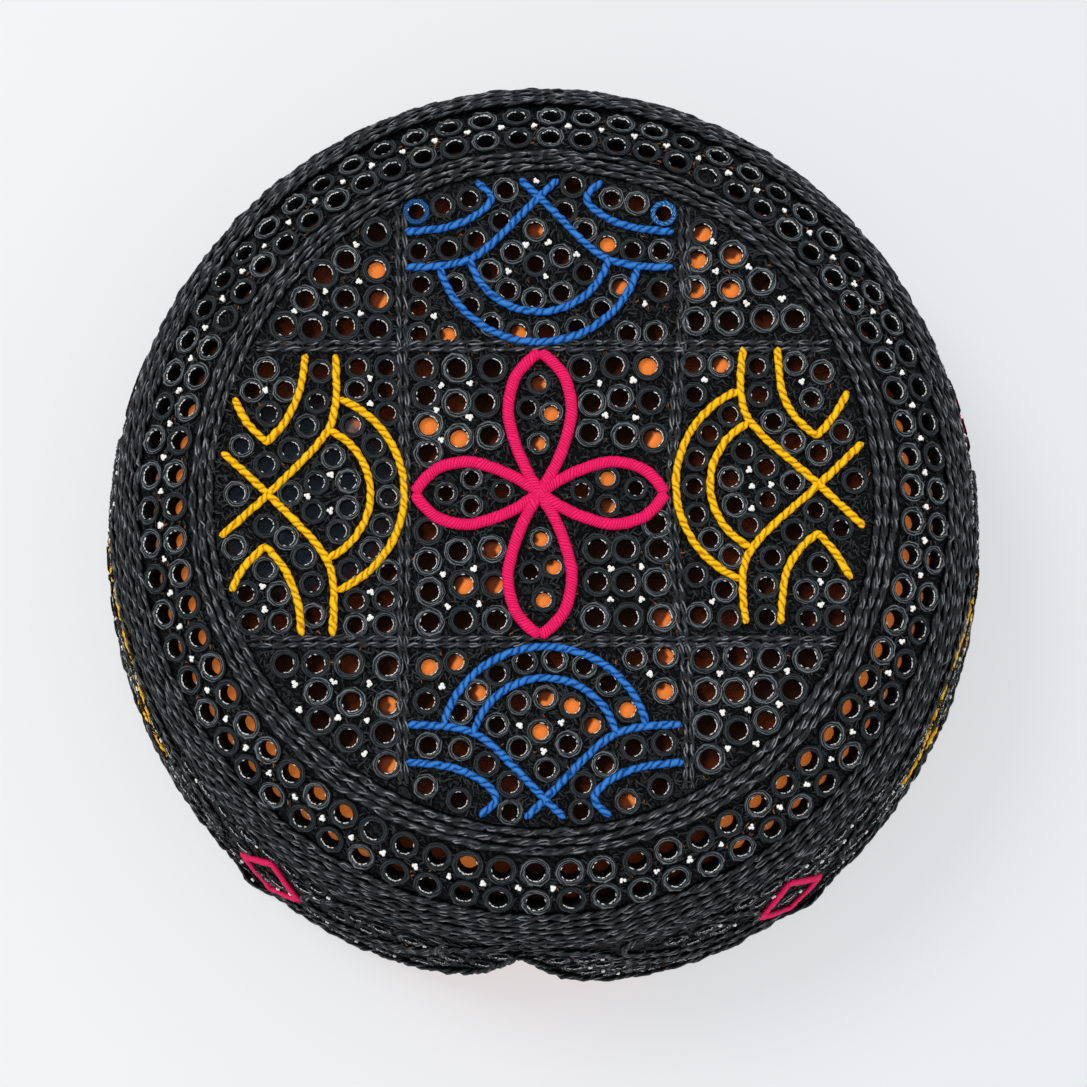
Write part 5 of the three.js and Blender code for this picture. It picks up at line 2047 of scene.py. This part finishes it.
@dataclass
class RopeBands:
    """The rope bands below the crown, below the shoulder, and around the rim and the front opening."""

    shop: Workshop
    rope: Rope = Rope(strand=0.50, lay=0.44, pitch=7.6, flatten=0.6, wobble=1.6, step=1.0, strands=3)
    rim: Rope = Rope(strand=0.55, lay=0.42, pitch=9.0, flatten=0.8, wobble=0.6, step=1.1, strands=3)
    back_puff: float = 0.9
    crown_downs: tuple[float, ...] = (0.5, 2.35, 4.2)
    band_downs: tuple[float, ...] = (18.6, 20.5, 22.4, 24.3, 26.2, 28.1)

    def build(self) -> None:
        """Builds the three bands."""
        self.band("crown_rope_band", self.crown_downs, "crown_ropes", 40.0)
        self.band("wall_rope_band", self.band_downs, "band_ropes", 70.0)
        self.rim_rope()

    def band(self, name: str, downs: Sequence[float], node: str, seed: float) -> None:
        """Ropes side by side around the cap."""
        form = self.shop.form
        parts = []
        for number, down in enumerate(downs):
            puff = self.back_puff if down > 15 else 0.0
            bearings = [-180 + 1.5 * i for i in range(240)]
            seats = [
                form.side(b, down, 0.45 + puff * max(0.0, -math.cos(math.radians(b))) ** 2) for b in bearings
            ]
            rope = replace(self.rope, pitch=self.rope.pitch * (0.8 + 0.25 * (number % 3)))
            parts.append(
                rope.along(
                    f"{name}_{number}", seats, self.shop.finishes.rope, self.shop.ropes, closed=True,
                    seed=seed + number * 5.3,
                )
            )
        dressed(joined(name, parts), Slot.BLACK, node)

    def rim_rope(self) -> None:
        """One rope along the rim and over the front opening."""
        form = self.shop.form
        rise = 1.9
        arch = [(b, max(s, 0.0)) for b, s in form.on_arch(0.9)]
        arch = [(b, min(s - rise * 0.6, form.foot - rise)) for b, s in arch]
        clear = 1.2
        start, end = arch[-1][0] + clear, arch[0][0] - clear + 360
        count = 220
        rim = [(start + (end - start) * i / count, form.foot - rise) for i in range(count + 1)]
        places = arch + [(b - 360 if b > 180 else b, s) for b, s in rim]
        seats = [form.side(b, s, 0.55) for b, s in places]
        piece = self.rim.along(
            "rim_rope", seats, self.shop.finishes.rope, self.shop.ropes, closed=True, seed=91.0
        )
        dressed(piece, Slot.BLACK, "rim_binding")


# Studio
@dataclass(frozen=True)
class Studio:
    """A pale floor painted darker towards the right and glowing, soft light from the left and the
    photograph's camera.
    """

    tilt: float = 10.0
    target: Triple = (0.0, -4.6, 31.0)
    distance: float = 650.0
    lens: float = 105.48
    floor_half: float = 2.5
    # The floor's colour and glow are painted darker towards the right, away from the key light; the glow also
    # lights the cap.
    floor_colour: Triple = (0.30, 0.303, 0.306)
    floor_painted_falloff: Triple = (0.27, 0.273, 0.28)
    floor_glow: float = 0.59

    def build(self) -> None:
        """Sets the camera, the floor and the lights."""
        self.camera()
        self.floor()
        self.lights()
        view = bpy.context.scene.view_settings
        view.view_transform = "Standard"
        view.look = "None"

    def camera(self) -> None:
        """The camera above the cap, tilted towards the front."""
        tilt = math.radians(self.tilt)
        data = bpy.data.cameras.new("camera")
        data.lens = self.lens
        data.sensor_width = 36.0
        data.clip_start, data.clip_end = 0.01, 20.0
        camera = linked("camera", data)
        away = Vector((0, -math.sin(tilt), math.cos(tilt))) * self.distance
        camera.location = (Vector(self.target) + away) * MM
        camera.rotation_euler = (tilt, 0, 0)
        bpy.context.scene.camera = camera

    def floor(self) -> None:
        """A wide floor just under the rim, with a painted falloff from left to right and a glow."""
        half = self.floor_half
        floor = new_object(
            "floor", [(-half, -half, 0), (half, -half, 0), (half, half, 0), (-half, half, 0)], [(0, 1, 2, 3)]
        )
        material, sheet, place = blank_material("floor_paper")
        across = sheet.number("ShaderNodeSeparateXYZ", None, {0: place})
        # Painted light falloff: darker towards the right.
        fade = across.between(-0.16, 0.16)
        sheet.surface({
            "Base Color": sheet.tint(fade, self.floor_colour, self.floor_painted_falloff),
            "Emission Color": sheet.tint(fade, (0.98, 0.99, 1.0), (0.92, 0.93, 0.95)),
            "Emission Strength": self.floor_glow,
            "Roughness": 0.9,
            "Specular IOR Level": 0.1,
        })
        floor.data.materials.append(material)

    def lights(self) -> None:
        """A pale world, a wide soft light high on the left and a weak one on the right."""
        world = bpy.data.worlds.new("studio")
        world.use_nodes = True
        background = world.node_tree.nodes["Background"]
        background.inputs["Color"].default_value = (0.97, 0.98, 1.0, 1.0)
        background.inputs["Strength"].default_value = 0.78
        bpy.context.scene.world = world
        for name, way, spread, strength in (
            ("key", (-0.5, 0.4, 0.9), 22.0, 1.15),
            ("rim", (0.7, 0.1, 0.9), 50.0, 0.2),
        ):
            data = bpy.data.lights.new(name, "SUN")
            data.angle = math.radians(spread)
            data.energy = strength
            light = linked(name, data)
            light.location = way
            light.rotation_euler = (-Vector(way)).to_track_quat("-Z", "Y").to_euler()


def main() -> None:
    """Builds the cap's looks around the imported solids."""
    logging.basicConfig(level=logging.INFO, format="%(message)s")
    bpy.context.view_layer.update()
    shop = Workshop(CapForm(), Finishes(), StampTree(), SatinTree())
    Studio().build()
    crown = Crown(shop)
    crown.build()
    CrownCords(shop).build()
    shoulder = Shoulder(shop)
    shoulder.build()
    wall = Wall(shop)
    wall.build()
    RopeBands(shop).build()
    Lining(shop, crown.eyelets, [*shoulder.eyelets, *wall.eyelets]).build()


if __name__ == "__main__":
    main()
